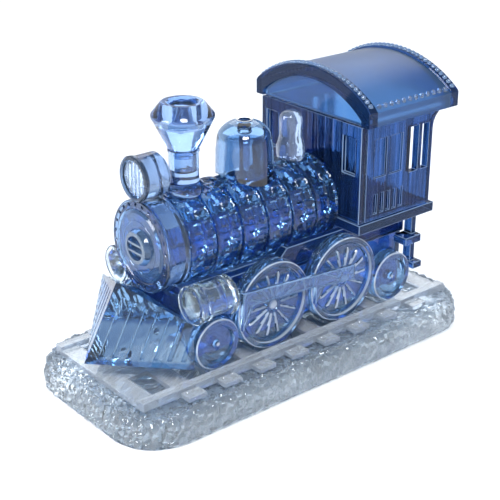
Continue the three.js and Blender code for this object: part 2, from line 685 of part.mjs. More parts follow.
function smokebox() {
  const to = SMOKEBOX_REAR_X;
  const radius = BOILER_FRONT_RADIUS;
  const recess = BOILER_FRONT_X + DOOR_THICKNESS + GAP;
  const profile = [
    [0, recess],
    [DOOR_RADIUS + GAP, recess],
    [DOOR_RADIUS + GAP, BOILER_FRONT_X],
    [radius, BOILER_FRONT_X],
    [radius, BOILER_FRONT_X + 2.6],
    [radius - 0.8, BOILER_FRONT_X + 3],
    [radius - 0.8, to - 1.2],
    [radius - 0.2, to],
    [0, to],
  ];
  const pegHole = bar('x', DOOR_PEG_RADIUS + GAP, BOILER_FRONT_X, DOOR_PEG_REAR_X + GAP,
    [0, 0, BOILER_Z], 16);
  const lampSlot = block([BOILER_FRONT_X - 1, BOILER_FRONT_X + LAMP_LENGTH - LAMP_OVERHANG + GAP],
    [-LAMP_SLOT_WIDTH / 2 - GAP, LAMP_SLOT_WIDTH / 2 + GAP],
    [BOILER_Z + radius - LAMP_SLOT_DEPTH - GAP, BOILER_Z + radius + 2]);
  const body = turned('x', [0, 0, BOILER_Z], profile, 28);
  return cut(body, squareBore(SPINE_FRONT_X - GAP, to + 1), pegHole, lampSlot, ...mountingSockets());
}

const SPINE_FRONT_X = DOOR_PEG_REAR_X + 2 * GAP + 0.6;

function smokeboxDoor() {
  const face = BOILER_FRONT_X - 0.3;
  const back = BOILER_FRONT_X + DOOR_THICKNESS;
  const hubFace = face - HUB_HEIGHT;
  const recess = HUB_RADIUS * 0.76;
  const profile = [
    [0, back],
    [DOOR_RADIUS, back],
    [DOOR_RADIUS, face + 0.5],
    [DOOR_RADIUS - 0.6, face],
    [HUB_RADIUS + 0.8, face],
    [HUB_RADIUS, hubFace],
    [recess, hubFace],
    [recess, hubFace + 1.4],
    [0, hubFace + 1.4],
  ];
  const bars = [-1, 1].map((row) => block([hubFace + 0.2, hubFace + 1.6], [-recess, recess],
    [BOILER_Z + row * 1.25 - 0.35, BOILER_Z + row * 1.25 + 0.35]));
  const peg = bar('x', DOOR_PEG_RADIUS, back - 0.5, DOOR_PEG_REAR_X, [0, 0, BOILER_Z], 16);
  return join(turned('x', [0, 0, BOILER_Z], profile, 28), peg, ...bars);
}

piece('smokebox_door', smokeboxDoor(), 'lilac');
piece('smokebox', smokebox(), 'blue');
for (let i = 0; i < RING_COUNT; i += 1) {
  piece(`boiler_ring_${i + 1}`, boilerRing(i), 'blue');
}
piece('boiler_spine', block([SPINE_FRONT_X, BOILER_REAR_X], [-SPINE_WIDTH / 2, SPINE_WIDTH / 2],
  [BOILER_Z - SPINE_WIDTH / 2, BOILER_Z + SPINE_WIDTH / 2]), 'blue');

// ---------------------------------------------------------------- boiler mountings

const CHIMNEY_JOINT_Z = BOILER_Z + boilerRadius(CHIMNEY_X) + CHIMNEY_HEIGHT;

function mountingPeg(x) {
  const top = BOILER_Z + boilerRadius(x);
  return bar('z', PEG_RADIUS, top - PEG_LENGTH, top + 2, [x, 0, 0], PEG_SIDES);
}

function chimneyShaft() {
  const foot = BOILER_Z + boilerRadius(CHIMNEY_X) - 2;
  const r = CHIMNEY_RADIUS;
  const profile = [
    [0, foot],
    [r + 1.6, foot],
    [r + 0.9, foot + 2.4],
    [r, foot + 3.4],
    [r, CHIMNEY_JOINT_Z],
    [r - 1.6, CHIMNEY_JOINT_Z],
    [r - 1.6, foot + 7],
    [0, foot + 7],
  ];
  const body = cut(turned('z', [CHIMNEY_X, 0, 0], profile, 24), boilerRoom());
  const top = BOILER_Z + boilerRadius(CHIMNEY_X);
  return join(body, bar('z', CHIMNEY_RADIUS, top - PEG_LENGTH, top + 2, [CHIMNEY_X, 0, 0]));
}

function chimneyCap() {
  const bottom = CHIMNEY_JOINT_Z + GAP;
  const top = bottom + CHIMNEY_CAP_HEIGHT - GAP;
  const spigot = CHIMNEY_RADIUS - 1.6 - GAP;
  const wide = CHIMNEY_CAP_RADIUS;
  const profile = [
    [0, bottom - 3],
    [spigot, bottom - 3],
    [spigot, bottom],
    [CHIMNEY_RADIUS + 0.6, bottom],
    [wide, top - 4.6],
    [wide, top - 3.6],
    [wide * 0.68, top],
    [wide * 0.5, top],
    [wide * 0.45, top - 6],
    [0, top - 6],
  ];
  return turned('z', [CHIMNEY_X, 0, 0], profile, 24);
}

function steamDome() {
  const foot = BOILER_Z + boilerRadius(DOME_X) - 3;
  const top = foot + DOME_HEIGHT + 3;
  const wall = 2.6;
  const r = DOME_RADIUS;
  const crown = r * 0.72;
  const outer = [[r, foot], [r - 0.5, top - crown]];
  const inner = [[r - wall - 0.5, top - crown], [r - wall, foot]];
  for (let i = 1; i <= 3; i += 1) {
    const angle = Math.PI / 2 * i / 4;
    outer.push([(r - 0.5) * Math.cos(angle), top - crown + crown * Math.sin(angle)]);
    inner.unshift([(r - wall - 0.5) * Math.cos(angle), top - crown + (crown - wall - 1) * Math.sin(angle)]);
  }
  const crownHole = [[2.6, top - 0.3], [2.2, top - 1.6], [0, top - 1.6]];
  const profile = [...outer, ...crownHole, [0, top - wall - 1], ...inner, [r, foot]];
  const body = cut(turned('z', [DOME_X, 0, 0], profile, 24), boilerRoom());
  return join(body, bar('z', PEG_RADIUS, BOILER_Z + boilerRadius(DOME_X) - PEG_LENGTH, top - wall - 0.5,
    [DOME_X, 0, 0], PEG_SIDES));
}

function bell() {
  const foot = BOILER_Z + boilerRadius(BELL_X) - 1;
  const top = foot + BELL_HEIGHT + 1;
  const r = BELL_RADIUS;
  const profile = [
    [0, foot],
    [r, foot],
    [r + 0.2, foot + 3],
    [r - 0.8, foot + 7],
    [r - 0.8, top - 4],
    [r - 1.2, top - 1.6],
    [r - 2.6, top],
    [0, top],
  ];
  return join(cut(turned('z', [BELL_X, 0, 0], profile, 16), boilerRoom()), mountingPeg(BELL_X));
}

piece('chimney_shaft', chimneyShaft(), 'ice');
piece('chimney_cap', chimneyCap(), 'ice');
piece('steam_dome', steamDome(), 'ice');
piece('bell', bell(), 'clear');

// The headlamp is a drum whose foot slides into the slot in the smokebox from the front.
const LAMP_FRONT_X = BOILER_FRONT_X - LAMP_OVERHANG;
const LENS_RADIUS = LAMP_RADIUS - 1.6;

function headlampBody() {
  const back = LAMP_FRONT_X + LAMP_LENGTH;
  const profile = [
    [0, LAMP_FRONT_X + LAMP_LENS_DEPTH + GAP],
    [LENS_RADIUS + GAP, LAMP_FRONT_X + LAMP_LENS_DEPTH + GAP],
    [LENS_RADIUS + GAP, LAMP_FRONT_X],
    [LAMP_RADIUS, LAMP_FRONT_X],
    [LAMP_RADIUS, LAMP_FRONT_X + 1],
    [LAMP_RADIUS - 0.3, LAMP_FRONT_X + 1.3],
    [LAMP_RADIUS - 0.3, back - 1],
    [LAMP_RADIUS - 1.3, back],
    [0, back],
  ];
  const foot = block([BOILER_FRONT_X + 0.4, back - 0.4], [-LAMP_SLOT_WIDTH / 2, LAMP_SLOT_WIDTH / 2],
    [BOILER_Z + BOILER_FRONT_RADIUS - LAMP_SLOT_DEPTH, LAMP_Z]);
  const lensRoom = bar('x', LENS_RADIUS + GAP, LAMP_FRONT_X - 1, LAMP_FRONT_X + LAMP_LENS_DEPTH + GAP,
    [0, 0, LAMP_Z]);
  return join(turned('x', [0, 0, LAMP_Z], profile, 24), cut(foot, lensRoom));
}

function headlampLens() {
  const profile = [
    [0, LAMP_FRONT_X + LAMP_LENS_DEPTH],
    [LENS_RADIUS, LAMP_FRONT_X + LAMP_LENS_DEPTH],
    [LENS_RADIUS, LAMP_FRONT_X + 0.6],
    [LENS_RADIUS * 0.8, LAMP_FRONT_X + 0.2],
    [LENS_RADIUS * 0.4, LAMP_FRONT_X - 0.1],
    [0, LAMP_FRONT_X - 0.2],
  ];
  return turned('x', [0, 0, LAMP_Z], profile, 24);
}

piece('headlamp_body', headlampBody(), 'clear');
piece('headlamp_lens', headlampLens(), 'clear');

// ---------------------------------------------------------------- cab

const FLOOR_HALF_WIDTH = CAB_HALF_WIDTH + FLOOR_OVERHANG;
const WALL_BOTTOM = FLOOR_TOP + GAP;
const SIDE_INNER_Y = CAB_HALF_WIDTH - CAB_WALL;

piece('cab_floor', block([CAB_FRONT_X, FLOOR_REAR_X], [-FLOOR_HALF_WIDTH, FLOOR_HALF_WIDTH],
  [FLOOR_BOTTOM, FLOOR_TOP]), 'blue');

// Front wall, with a window on each side of the boiler.
function cabFrontWall() {
  const body = block([CAB_FRONT_X, CAB_FRONT_X + CAB_WALL], [-CAB_HALF_WIDTH, CAB_HALF_WIDTH],
    [WALL_BOTTOM, CAB_TOP]);
  const windows = [-1, 1].map((side) => block([CAB_FRONT_X - 1, CAB_FRONT_X + CAB_WALL * 0.5],
    [side * (CAB_HALF_WIDTH - 2.5), side * (CAB_HALF_WIDTH - 8)], [CAB_TOP - 16, CAB_TOP - 4]));
  return cut(body, ...windows);
}

// Side wall: planked, with a framed lower panel, two panes and open slits at the rear posts.
function cabSide(side) {
  const x0 = CAB_FRONT_X + CAB_WALL + GAP;
  const outer = side * CAB_HALF_WIDTH;
  const inner = side * SIDE_INNER_Y;
  const through = [outer + side, inner - side];
  const relief = [outer + side, outer - side * 0.8];
  const reach = 6;
  const bracket = plate('y', [[CAB_TOP, CAB_REAR_X - 0.5],
    ...arc([CAB_TOP - reach, CAB_REAR_X + reach], reach, 0, -90, 5), [CAB_TOP - reach, CAB_REAR_X - 0.5]],
  inner, outer);
  const wall = block([x0, CAB_REAR_X], [inner, outer], [WALL_BOTTOM, CAB_TOP]);
  const slits = [[10.2, 6.4], [4.9, 1.7]].map(([from, to]) => block([CAB_REAR_X - from, CAB_REAR_X - to],
    through, [WALL_BOTTOM + 12.5, CAB_TOP - 4]));
  const panes = [[6, 11.4], [13, 18.4]].map(([from, to]) => block([CAB_FRONT_X + from, CAB_FRONT_X + to],
    relief, [WALL_BOTTOM + 14, CAB_TOP - 5]));
  const grooves = [];
  for (let i = 0; i < 5; i += 1) {
    const x = CAB_FRONT_X + 6.4 + i * 2.8;
    grooves.push(block([x, x + 1.6], relief, [WALL_BOTTOM + 2, WALL_BOTTOM + 8.5]));
  }
  return cut(join(wall, bracket), ...slits, ...panes, ...grooves);
}

// The backhead is the boiler's rear end inside the cab.
function backhead() {
  const x0 = CAB_FRONT_X + CAB_WALL + GAP;
  const half = BACKHEAD_HALF_WIDTH;
  const outline = [[-half, WALL_BOTTOM], [half, WALL_BOTTOM], ...arc([0, BOILER_Z + 3], half, 0, 180, 12)];
  const body = plate('x', outline, x0, x0 + BACKHEAD_LENGTH);
  const door = block([x0 + BACKHEAD_LENGTH - 1, x0 + BACKHEAD_LENGTH + 1], [-3.5, 3.5],
    [WALL_BOTTOM + 2, WALL_BOTTOM + 7]);
  return cut(body, door);
}

piece('cab_front_wall', cabFrontWall(), 'blue');
for (const [sideName, side] of SIDES) {
  piece(`cab_side_${sideName}`, cabSide(side), 'blue');
}
piece('backhead', backhead(), 'blue');

// Two-plate steps hang below the rear of the cab floor.
function cabSteps(side) {
  const outer = side * STEP_OUTER_Y;
  const inner = side * (BOARD_OUTER_Y + GAP);
  const trailingRear = TRAILING_X + TRAILING_RADIUS + FLANGE_HEIGHT + GAP;
  const trailingTop = axleHeight(TRAILING_RADIUS) + TRAILING_RADIUS + FLANGE_HEIGHT + GAP;
  const upper = block([STEP_FRONT_X, STEP_REAR_X], [inner, outer],
    [trailingTop + 1, trailingTop + 3.6]);
  const lower = block([trailingRear, STEP_REAR_X + 1], [inner, outer],
    [trailingTop - 8.5, trailingTop - 6.3]);
  const hanger = block([trailingRear + 0.3, STEP_REAR_X - 0.6],
    [inner + side * 0.4, side * (STEP_OUTER_Y - 2)], [trailingTop - 7, FLOOR_BOTTOM - GAP]);
  return join(upper, lower, hanger);
}

for (const [sideName, side] of SIDES) {
  piece(`cab_steps_${sideName}`, cabSteps(side), 'blue');
}

// ---------------------------------------------------------------- roof

// Radius of an arch from its half width and rise.
function archRadius(half, rise) {
  return (half * half + rise * rise) / (2 * rise);
}

// Outline of an arched roof section, from one eave over the ridge to the other.
function arch(half, eaveZ, rise, steps) {
  const radius = archRadius(half, rise);
  const spread = THREE.MathUtils.radToDeg(Math.asin(half / radius));
  return arc([0, eaveZ + rise - radius], radius, 90 - spread, 90 + spread, steps);
}

function roofShell() {
  const outer = arch(ROOF_HALF_WIDTH, ROOF_EAVE_TOP, ROOF_RISE, 24);
  const innerHalf = ROOF_HALF_WIDTH - ROOF_THICKNESS;
  const innerEave = ROOF_EAVE_TOP - ROOF_THICKNESS * 0.8;
  const inner = arch(innerHalf, innerEave, ROOF_RISE - ROOF_THICKNESS * 0.2, 24).reverse();
  const outline = [[ROOF_HALF_WIDTH, ROOF_BOTTOM], ...outer, [-ROOF_HALF_WIDTH, ROOF_BOTTOM],
    [-innerHalf, ROOF_BOTTOM], ...inner, [innerHalf, ROOF_BOTTOM]];
  return plate('x', outline, ROOF_FRONT_X, ROOF_REAR_X);
}

// A gable closes each end of the roof shell, set back a little from its edge.
function roofGable(from, to) {
  const half = ROOF_HALF_WIDTH - ROOF_THICKNESS - GAP;
  const eave = ROOF_EAVE_TOP - ROOF_THICKNESS * 0.8 - GAP;
  const outline = [[half, ROOF_BOTTOM], ...arch(half, eave, ROOF_RISE - ROOF_THICKNESS * 0.2, 20),
    [-half, ROOF_BOTTOM]];
  return plate('x', outline, from, to);
}

piece('roof_shell', roofShell(), 'blue');
piece('roof_gable_front', roofGable(ROOF_FRONT_X + 0.6, ROOF_FRONT_X + 0.6 + GABLE_THICKNESS), 'blue');
piece('roof_gable_rear', roofGable(ROOF_REAR_X - 0.6 - GABLE_THICKNESS, ROOF_REAR_X - 0.6), 'blue');

export default locomotive;
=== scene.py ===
import math

import bmesh
import bpy
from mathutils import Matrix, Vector, noise


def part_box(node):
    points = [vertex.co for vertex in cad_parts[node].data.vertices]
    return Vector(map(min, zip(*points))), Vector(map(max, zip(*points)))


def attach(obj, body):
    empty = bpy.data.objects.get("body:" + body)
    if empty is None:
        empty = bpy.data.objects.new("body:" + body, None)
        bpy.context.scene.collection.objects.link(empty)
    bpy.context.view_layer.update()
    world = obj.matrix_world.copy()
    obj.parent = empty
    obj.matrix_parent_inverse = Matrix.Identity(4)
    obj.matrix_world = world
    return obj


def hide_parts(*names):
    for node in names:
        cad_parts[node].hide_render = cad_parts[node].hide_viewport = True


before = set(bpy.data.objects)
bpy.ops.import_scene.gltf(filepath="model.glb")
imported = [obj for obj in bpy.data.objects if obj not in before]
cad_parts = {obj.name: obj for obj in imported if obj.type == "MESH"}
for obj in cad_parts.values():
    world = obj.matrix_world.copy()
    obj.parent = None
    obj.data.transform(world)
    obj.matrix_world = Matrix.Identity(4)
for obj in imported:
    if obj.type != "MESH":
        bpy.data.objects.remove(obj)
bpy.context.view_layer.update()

# ------------------------------------------------------------------------------------------------
# Table, light and view. The model stands on a pale table top in soft light from all round, and is
# seen from ahead of its left side and a little above.
# ------------------------------------------------------------------------------------------------

VIEW_FALL = 23.65  # degrees below level
VIEW_TURN = 39.73  # degrees from square on to the left side, towards the front
BOUNCES = 24  # light crosses many clear walls
view_data = bpy.data.cameras.new("viewpoint")
view_data.lens = 84.1
view_data.sensor_width = 36
view_data.clip_start = 0.01
viewpoint = bpy.data.objects.new("viewpoint", view_data)
viewpoint.location = (-0.2213, -0.2611, 0.1848)
viewpoint.rotation_euler = (math.radians(90 - VIEW_FALL), 0, math.radians(-VIEW_TURN))
bpy.context.scene.collection.objects.link(viewpoint)
bpy.context.scene.camera = viewpoint
bpy.context.scene.view_settings.view_transform = "Standard"
light_paths = bpy.context.scene.cycles
light_paths.max_bounces = BOUNCES
light_paths.transmission_bounces = BOUNCES
light_paths.transparent_max_bounces = BOUNCES

studio = bpy.data.worlds.new("studio")
bpy.context.scene.world = studio
studio.use_nodes = True
sky = studio.node_tree
direction = sky.nodes.new("ShaderNodeTexCoord")
height = sky.nodes.new("ShaderNodeSeparateXYZ")
gradient = sky.nodes.new("ShaderNodeValToRGB")
gradient.color_ramp.elements[0].color = (1, 1, 1, 1)
gradient.color_ramp.elements[1].position = 0.7
gradient.color_ramp.elements[1].color = (0.33, 0.43, 0.60, 1)
horizon = gradient.color_ramp.elements.new(0.16)
horizon.color = (0.93, 0.95, 0.98, 1)
sky.links.new(direction.outputs["Generated"], height.inputs[0])
sky.links.new(height.outputs["Z"], gradient.inputs["Fac"])
sky.links.new(gradient.outputs["Color"], sky.nodes["Background"].inputs["Color"])

LIT_POINT = Vector((0, 0, 0.045))
LIGHTS = [  # name, place, width and watts
    ("key_light", (-0.35, -0.55, 0.75), 0.32, 9),
    ("fill_light", (-0.8, 0.15, 0.45), 0.35, 5),
    ("rim_light", (0.5, 0.6, 0.8), 0.9, 4),
]
for name, place, size, power in LIGHTS:
    lamp = bpy.data.lights.new(name, "AREA")
    lamp.size = size
    lamp.energy = power
    holder = bpy.data.objects.new(name, lamp)
    holder.location = place
    holder.rotation_euler = (LIT_POINT - Vector(place)).to_track_quat("-Z", "Y").to_euler()
    bpy.context.scene.collection.objects.link(holder)

TABLE_REACH = 3
TABLE_GAP = 0.0003  # keeps the table's face off the base's
table_mesh = bpy.data.meshes.new("table_top")
table_corners = [(TABLE_REACH * x, TABLE_REACH * y, 0) for x, y in ((-1, -1), (1, -1), (1, 1), (-1, 1))]
table_mesh.from_pydata(table_corners, [], [(0, 1, 2, 3)])
table = bpy.data.objects.new("table_top", table_mesh)
table.location.z = -TABLE_GAP
bpy.context.scene.collection.objects.link(table)
table_paint = bpy.data.materials.new("table_paint")
table_paint.use_nodes = True
table_finish = table_paint.node_tree.nodes["Principled BSDF"].inputs
table_finish["Base Color"].default_value = (0.93, 0.93, 0.93, 1)
table_finish["Roughness"].default_value = 0.9
table_mesh.materials.append(table_paint)

# ------------------------------------------------------------------------------------------------
# Ballast base. One thick moulding in clear polystyrene, with stones cast into its shoulders, a
# rough front end and a flat bed where the track lies. Two round sockets take the track's pegs.
# ------------------------------------------------------------------------------------------------


def crystal(name, tint, depth_tint, density, clarity=0.9, wave=0.1, grain=420, polish=(0.02, 0.08), ior=1.5,
            shade_low=0.9, stretch=1):
    """Transparent polystyrene: tinted in its depth, a little hazy, with a moulding's faint flow."""
    plastic = bpy.data.materials.new(name)
    plastic.use_nodes = True
    tree = plastic.node_tree
    shader = tree.nodes["Principled BSDF"]
    shader.inputs["Transmission Weight"].default_value = clarity
    shader.inputs["IOR"].default_value = ior
    place = tree.nodes.new("ShaderNodeTexCoord")
    flow = tree.nodes.new("ShaderNodeTexNoise")
    flow.inputs["Scale"].default_value = grain
    lay = tree.nodes.new("ShaderNodeMapping")
    lay.inputs["Scale"].default_value = (1, 1, 1 / stretch)
    tree.links.new(place.outputs["Object"], lay.inputs["Vector"])
    tree.links.new(lay.outputs["Vector"], flow.inputs["Vector"])
    shade = tree.nodes.new("ShaderNodeValToRGB")
    shade.color_ramp.elements[0].position = 0.3
    shade.color_ramp.elements[0].color = (*[share * shade_low for share in tint], 1)
    shade.color_ramp.elements[1].position = 0.7
    shade.color_ramp.elements[1].color = (*tint, 1)
    tree.links.new(flow.outputs["Fac"], shade.inputs["Fac"])
    tree.links.new(shade.outputs["Color"], shader.inputs["Base Color"])
    gloss = tree.nodes.new("ShaderNodeMapRange")
    gloss.inputs["To Min"].default_value = polish[0]
    gloss.inputs["To Max"].default_value = polish[1]
    tree.links.new(flow.outputs["Fac"], gloss.inputs["Value"])
    tree.links.new(gloss.outputs["Result"], shader.inputs["Roughness"])
    ripple = tree.nodes.new("ShaderNodeBump")
    ripple.inputs["Strength"].default_value = wave
    ripple.inputs["Distance"].default_value = 0.0004
    tree.links.new(flow.outputs["Fac"], ripple.inputs["Height"])
    tree.links.new(ripple.outputs["Normal"], shader.inputs["Normal"])
    depth = tree.nodes.new("ShaderNodeVolumeAbsorption")
    depth.inputs["Color"].default_value = (*depth_tint, 1)
    depth.inputs["Density"].default_value = density
    tree.links.new(depth.outputs["Volume"], tree.nodes["Material Output"].inputs["Volume"])
    return plastic


MM = 0.001


def place_of(node):
    """Lowest and highest corners of a CAD node at rest, in millimetres."""
    low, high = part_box(node)
    return Vector(low) * 1000, Vector(high) * 1000


def moulding(name, shells, plastic, body, stands_for=(), crease=32):
    """Makes one piece of closed shells. A shell is its points, in millimetres, and its faces."""
    build = bmesh.new()
    for points, faces in shells:
        corners = [build.verts.new(Vector(point) * MM) for point in points]
        for face in faces:
            build.faces.new([corners[i] for i in face])
    bmesh.ops.recalc_face_normals(build, faces=build.faces)
    if build.calc_volume(signed=True) < 0:
        bmesh.ops.reverse_faces(build, faces=build.faces)
    mesh = bpy.data.meshes.new(name)
    build.to_mesh(mesh)
    build.free()
    mesh.shade_smooth()
    mesh.set_sharp_from_angle(angle=math.radians(crease))
    mesh.materials.append(plastic)
    piece = bpy.data.objects.new(name, mesh)
    bpy.context.scene.collection.objects.link(piece)
    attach(piece, body)
    if stands_for:
        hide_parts(*stands_for)
    return piece


def rows_to_faces(rows, closed_rows=False):
    """Faces between rows of point numbers that each go once round; a row of one is a pole."""
    faces = []
    pairs = list(zip(rows, rows[1:]))
    if closed_rows:
        pairs.append((rows[-1], rows[0]))
    for first, second in pairs:
        count = max(len(first), len(second))
        for i in range(count):
            j = (i + 1) % count
            if len(first) == 1:
                faces.append((first[0], second[i], second[j]))
            elif len(second) == 1:
                faces.append((first[i], second[0], first[j]))
            else:
                faces.append((first[i], second[i], second[j], first[j]))
    return faces


def smooth_step(low, high, value):
    share = min(max((value - low) / (high - low), 0), 1)
    return share * share * (3 - 2 * share)


BASE_CORNER = 16
BASE_AROUND = 900
FOOT_HEIGHT = 1.0
WALL_STEP = 0.36
SHOULDER_RADIUS = 3.4
BED_CLEAR = 0.5  # how far the bed lies below the base's top
BED_MARGIN = (0.8, 0.5)
ROUGH_FRONT = (-52, -62)  # between these the stones change to the rough front end
FLUTED_HEIGHT = (4.0, 7.5)  # between these the stones fade downwards into a fluted wall
ballast_high = place_of("ballast_base")[1]


def base_outline(inset):
    """Points round the base at a distance inside its outline, starting at the middle of its rear."""
    half_x = ballast_high.x - inset
    half_y = ballast_high.y - inset
    corner = max(BASE_CORNER - inset, 1.5)
    straight_x, straight_y = 2 * (half_x - corner), 2 * (half_y - corner)
    bend = math.pi * corner / 2
    length = 2 * (straight_x + straight_y) + 4 * bend
    points = []
    for i in range(BASE_AROUND):
        run = length * i / BASE_AROUND
        for side, (dx, dy) in enumerate([(1, 0), (0, 1), (-1, 0), (0, -1)]):
            straight = straight_y if side % 2 == 0 else straight_x
            if run < straight:
                across = run - straight / 2
                if side % 2 == 0:
                    point = (dx * half_x, dx * across)
                else:
                    point = (-dy * across, dy * half_y)
                break
            run -= straight
            if run < bend:
                turn = math.atan2(dy, dx) + run / corner
                signs = [(1, 1), (-1, 1), (-1, -1), (1, -1)][side]
                point = (signs[0] * (half_x - corner) + corner * math.cos(turn),
                         signs[1] * (half_y - corner) + corner * math.sin(turn))
                break
            run -= bend
        points.append(point)
    return points


def stones(x, y, z, size):
    """How far a point lies below the tops of the stones: 0 on their faces and 1 in their joints."""
    distances, _ = noise.voronoi(Vector((x, y, z)) / size)
    return 0.55 * min(distances[0], 1) + 0.6 * max(0, 1 - (distances[1] - distances[0]) / 0.3)


def ballast_base():
    """One shell in rows round the base: underside, wall, rounded shoulder, then in over the top."""
    top = ballast_high.z
    # each course is a distance inside the outline and a height
    course = [(26, 0), (8, 0), (1.2, 0), (0.3, 0.4), (0, FOOT_HEIGHT)]
    course += [(0, FOOT_HEIGHT + WALL_STEP * i) for i in range(1, 15)]
    for i in range(1, 9):
        angle = math.pi / 2 * i / 8
        course.append((SHOULDER_RADIUS * (1 - math.cos(angle)),
                       top - SHOULDER_RADIUS * (1 - math.sin(angle))))
    course += [(SHOULDER_RADIUS + 0.6 * i, top) for i in range(1, 14)]
    course += [(SHOULDER_RADIUS + 9 + 2.2 * i, top) for i in range(1, 7)]
    bed_low, bed_high = place_of("track_panel")
    points, rows = [(0, 0, 0)], [[0]]
    for inset, z in course:
        row = []
        for x, y in base_outline(inset):
            outward = Vector((x * 0.45, y, 0)).normalized()
            if z > 0:
                front = smooth_step(*ROUGH_FRONT, x) if x < 0 else 0
                lower = 1 - smooth_step(*FLUTED_HEIGHT, z)
                chips = stones(x, y, z, 3.0) * (1.1 - 0.8 * lower * (1 - front))
                grit = stones(x + 9, y, z * 0.4, 1.6) * (0.4 + 0.35 * front)
                flutes = abs(noise.noise(Vector((x / 1.1, y / 1.1, z / 6)))) * (0.75 + 1.0 * front)
                sink = chips + grit * (1 - 0.6 * lower) + flutes
                wall = 1 - smooth_step(0.6, SHOULDER_RADIUS, inset)
                new_x = x - outward.x * sink * wall
                new_y = y - outward.y * sink * wall
                if (bed_low.x - BED_MARGIN[0] < x < bed_high.x + BED_MARGIN[0]
                        and bed_low.y - BED_MARGIN[1] < y < bed_high.y + BED_MARGIN[1]):
                    new_z = min(z, top - BED_CLEAR) - 0.5 * sink * (1 - wall)
                else:
                    new_z = z + (0.9 - 0.95 * sink) * (1 - wall)
                point = (new_x, new_y, max(new_z, 0.3))
            else:
                edge = 0.5 * abs(noise.noise(Vector((x / 2.2, y / 2.2, 5)))) if inset < 2 else 0
                point = (x - outward.x * edge, y - outward.y * edge, 0)
            row.append(len(points))
            points.append(point)
        rows.append(row)
    rows.append([len(points)])
    points.append((0, 0, top - BED_CLEAR))
    return points, rows_to_faces(rows)


def turned(axis, centre, profile, segments, shape=None, closed=False):
    """A shell turned about an axis through a centre. Its profile is (radius, place along the axis),
    and shape(radius, along, angle) may move each point before it is set."""
    points, rows = [], []
    for radius, along in profile:
        row = []
        for i in range(segments if radius else 1):
            angle = math.tau * i / segments
            r, a = shape(radius, along, angle) if shape else (radius, along)
            u, v = r * math.cos(angle), r * math.sin(angle)
            offset = {"x": (a, u, v), "y": (u, a, v), "z": (u, v, a)}[axis]
            row.append(len(points))
            points.append(tuple(c + o for c, o in zip(centre, offset)))
        rows.append(row)
    return points, rows_to_faces(rows, closed)


def drill(piece, holes):
    """Cuts round holes, each (axis, centre, radius, from, to) in millimetres, through a piece."""
    for axis, centre, radius, start, end in holes:
        points, faces = turned(axis, centre, [(0, start), (radius, start), (radius, end), (0, end)], 24)
        mesh = bpy.data.meshes.new("drill_bit")
        mesh.from_pydata([Vector(point) * MM for point in points], [], faces)
        bit = bpy.data.objects.new("drill_bit", mesh)
        bpy.context.scene.collection.objects.link(bit)
        hole = piece.modifiers.new("hole", "BOOLEAN")
        hole.object = bit
        hole.operation = "DIFFERENCE"
        hole.solver = "EXACT"
        bpy.context.view_layer.update()
        drilled = bpy.data.meshes.new_from_object(piece.evaluated_get(bpy.context.evaluated_depsgraph_get()))
        piece.modifiers.remove(hole)
        piece.data = drilled
        bpy.data.objects.remove(bit)


def shaded_by(plastic, node_type, output, stops):
    """Paints shade: multiplies a plastic's tint by colours set along the Z of a place or of a facing."""
    tree = plastic.node_tree
    tint = tree.nodes["Principled BSDF"].inputs["Base Color"]
    source = tree.nodes.new(node_type)
    split = tree.nodes.new("ShaderNodeSeparateXYZ")
    ramp = tree.nodes.new("ShaderNodeValToRGB")
    while len(ramp.color_ramp.elements) < len(stops):
        ramp.color_ramp.elements.new(1)
    for element, (position, colour) in zip(ramp.color_ramp.elements, stops):
        element.position = position
        element.color = (*colour, 1)
    blend = tree.nodes.new("ShaderNodeMix")
    blend.data_type = "RGBA"
    blend.blend_type = "MULTIPLY"
    blend.inputs["Factor"].default_value = 1
    tree.links.new(source.outputs[output], split.inputs[0])
    tree.links.new(split.outputs["Z"], ramp.inputs["Fac"])
    tree.links.new(tint.links[0].from_socket, blend.inputs[6])
    tree.links.new(ramp.outputs["Color"], blend.inputs[7])
    tree.links.new(blend.outputs[2], tint)


clear_cast = crystal("clear_cast", (0.95, 0.99, 1.0), (0.60, 0.82, 1.0), 7, wave=0.3, ior=1.47)
# Painted shade: by height, the base's tint is darkened along its bottom rim and a little over its upper part.
shaded_by(clear_cast, "ShaderNodeTexCoord", "Generated", [
    (0, (0.42, 0.50, 0.62)), (0.1, (0.95, 0.98, 1)), (0.6, (1, 1, 1)), (0.8, (0.88, 0.92, 0.96))])
ballast = moulding("ballast", [ballast_base()], clear_cast, "base", ["ballast_base"],
                   crease=24)
GAP = 0.3  # clearance of every fit
PEG_RADIUS = 1.6
SOCKET_DEPTH = 4 + GAP
SOCKET_FROM_END = 22
drill(ballast, [("z", (side * (ballast_high.x - SOCKET_FROM_END), 0, 0), PEG_RADIUS + GAP,
                 ballast_high.z - SOCKET_DEPTH, ballast_high.z + 1) for side in (-1, 1)])

# ------------------------------------------------------------------------------------------------
# Track panel. Sleepers, rails and end bars are one flat moulding in clear plastic, hazier than the
# base's, with two pegs under it for the base. Eight spike heads stand on each sleeper between the
# end bars, close to the rails.
# ------------------------------------------------------------------------------------------------


def dress(node, plastic, edge=0.25, painted_edge_plastic=None):
    """Gives a CAD node its plastic, and rounded edges whose own plastic paints highlight or shade."""
    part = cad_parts[node]
    part.data.materials.clear()
    part.data.materials.append(plastic)
    part.data.materials.append(painted_edge_plastic or plastic)
    corners = part.modifiers.new("joined_corners", "WELD")
    corners.merge_threshold = 0.002 * MM
    faces = part.modifiers.new("flat_faces", "DECIMATE")
    faces.decimate_type = "DISSOLVE"
    faces.angle_limit = math.radians(1)
    edges = part.modifiers.new("moulded_edges", "BEVEL")
    edges.width = edge * MM
    edges.segments = 2
    # the bevel's faces take the second plastic, which paints a highlight or shade along the edges
    edges.material = 1
    edges.limit_method = "ANGLE"
    edges.angle_limit = math.radians(35)


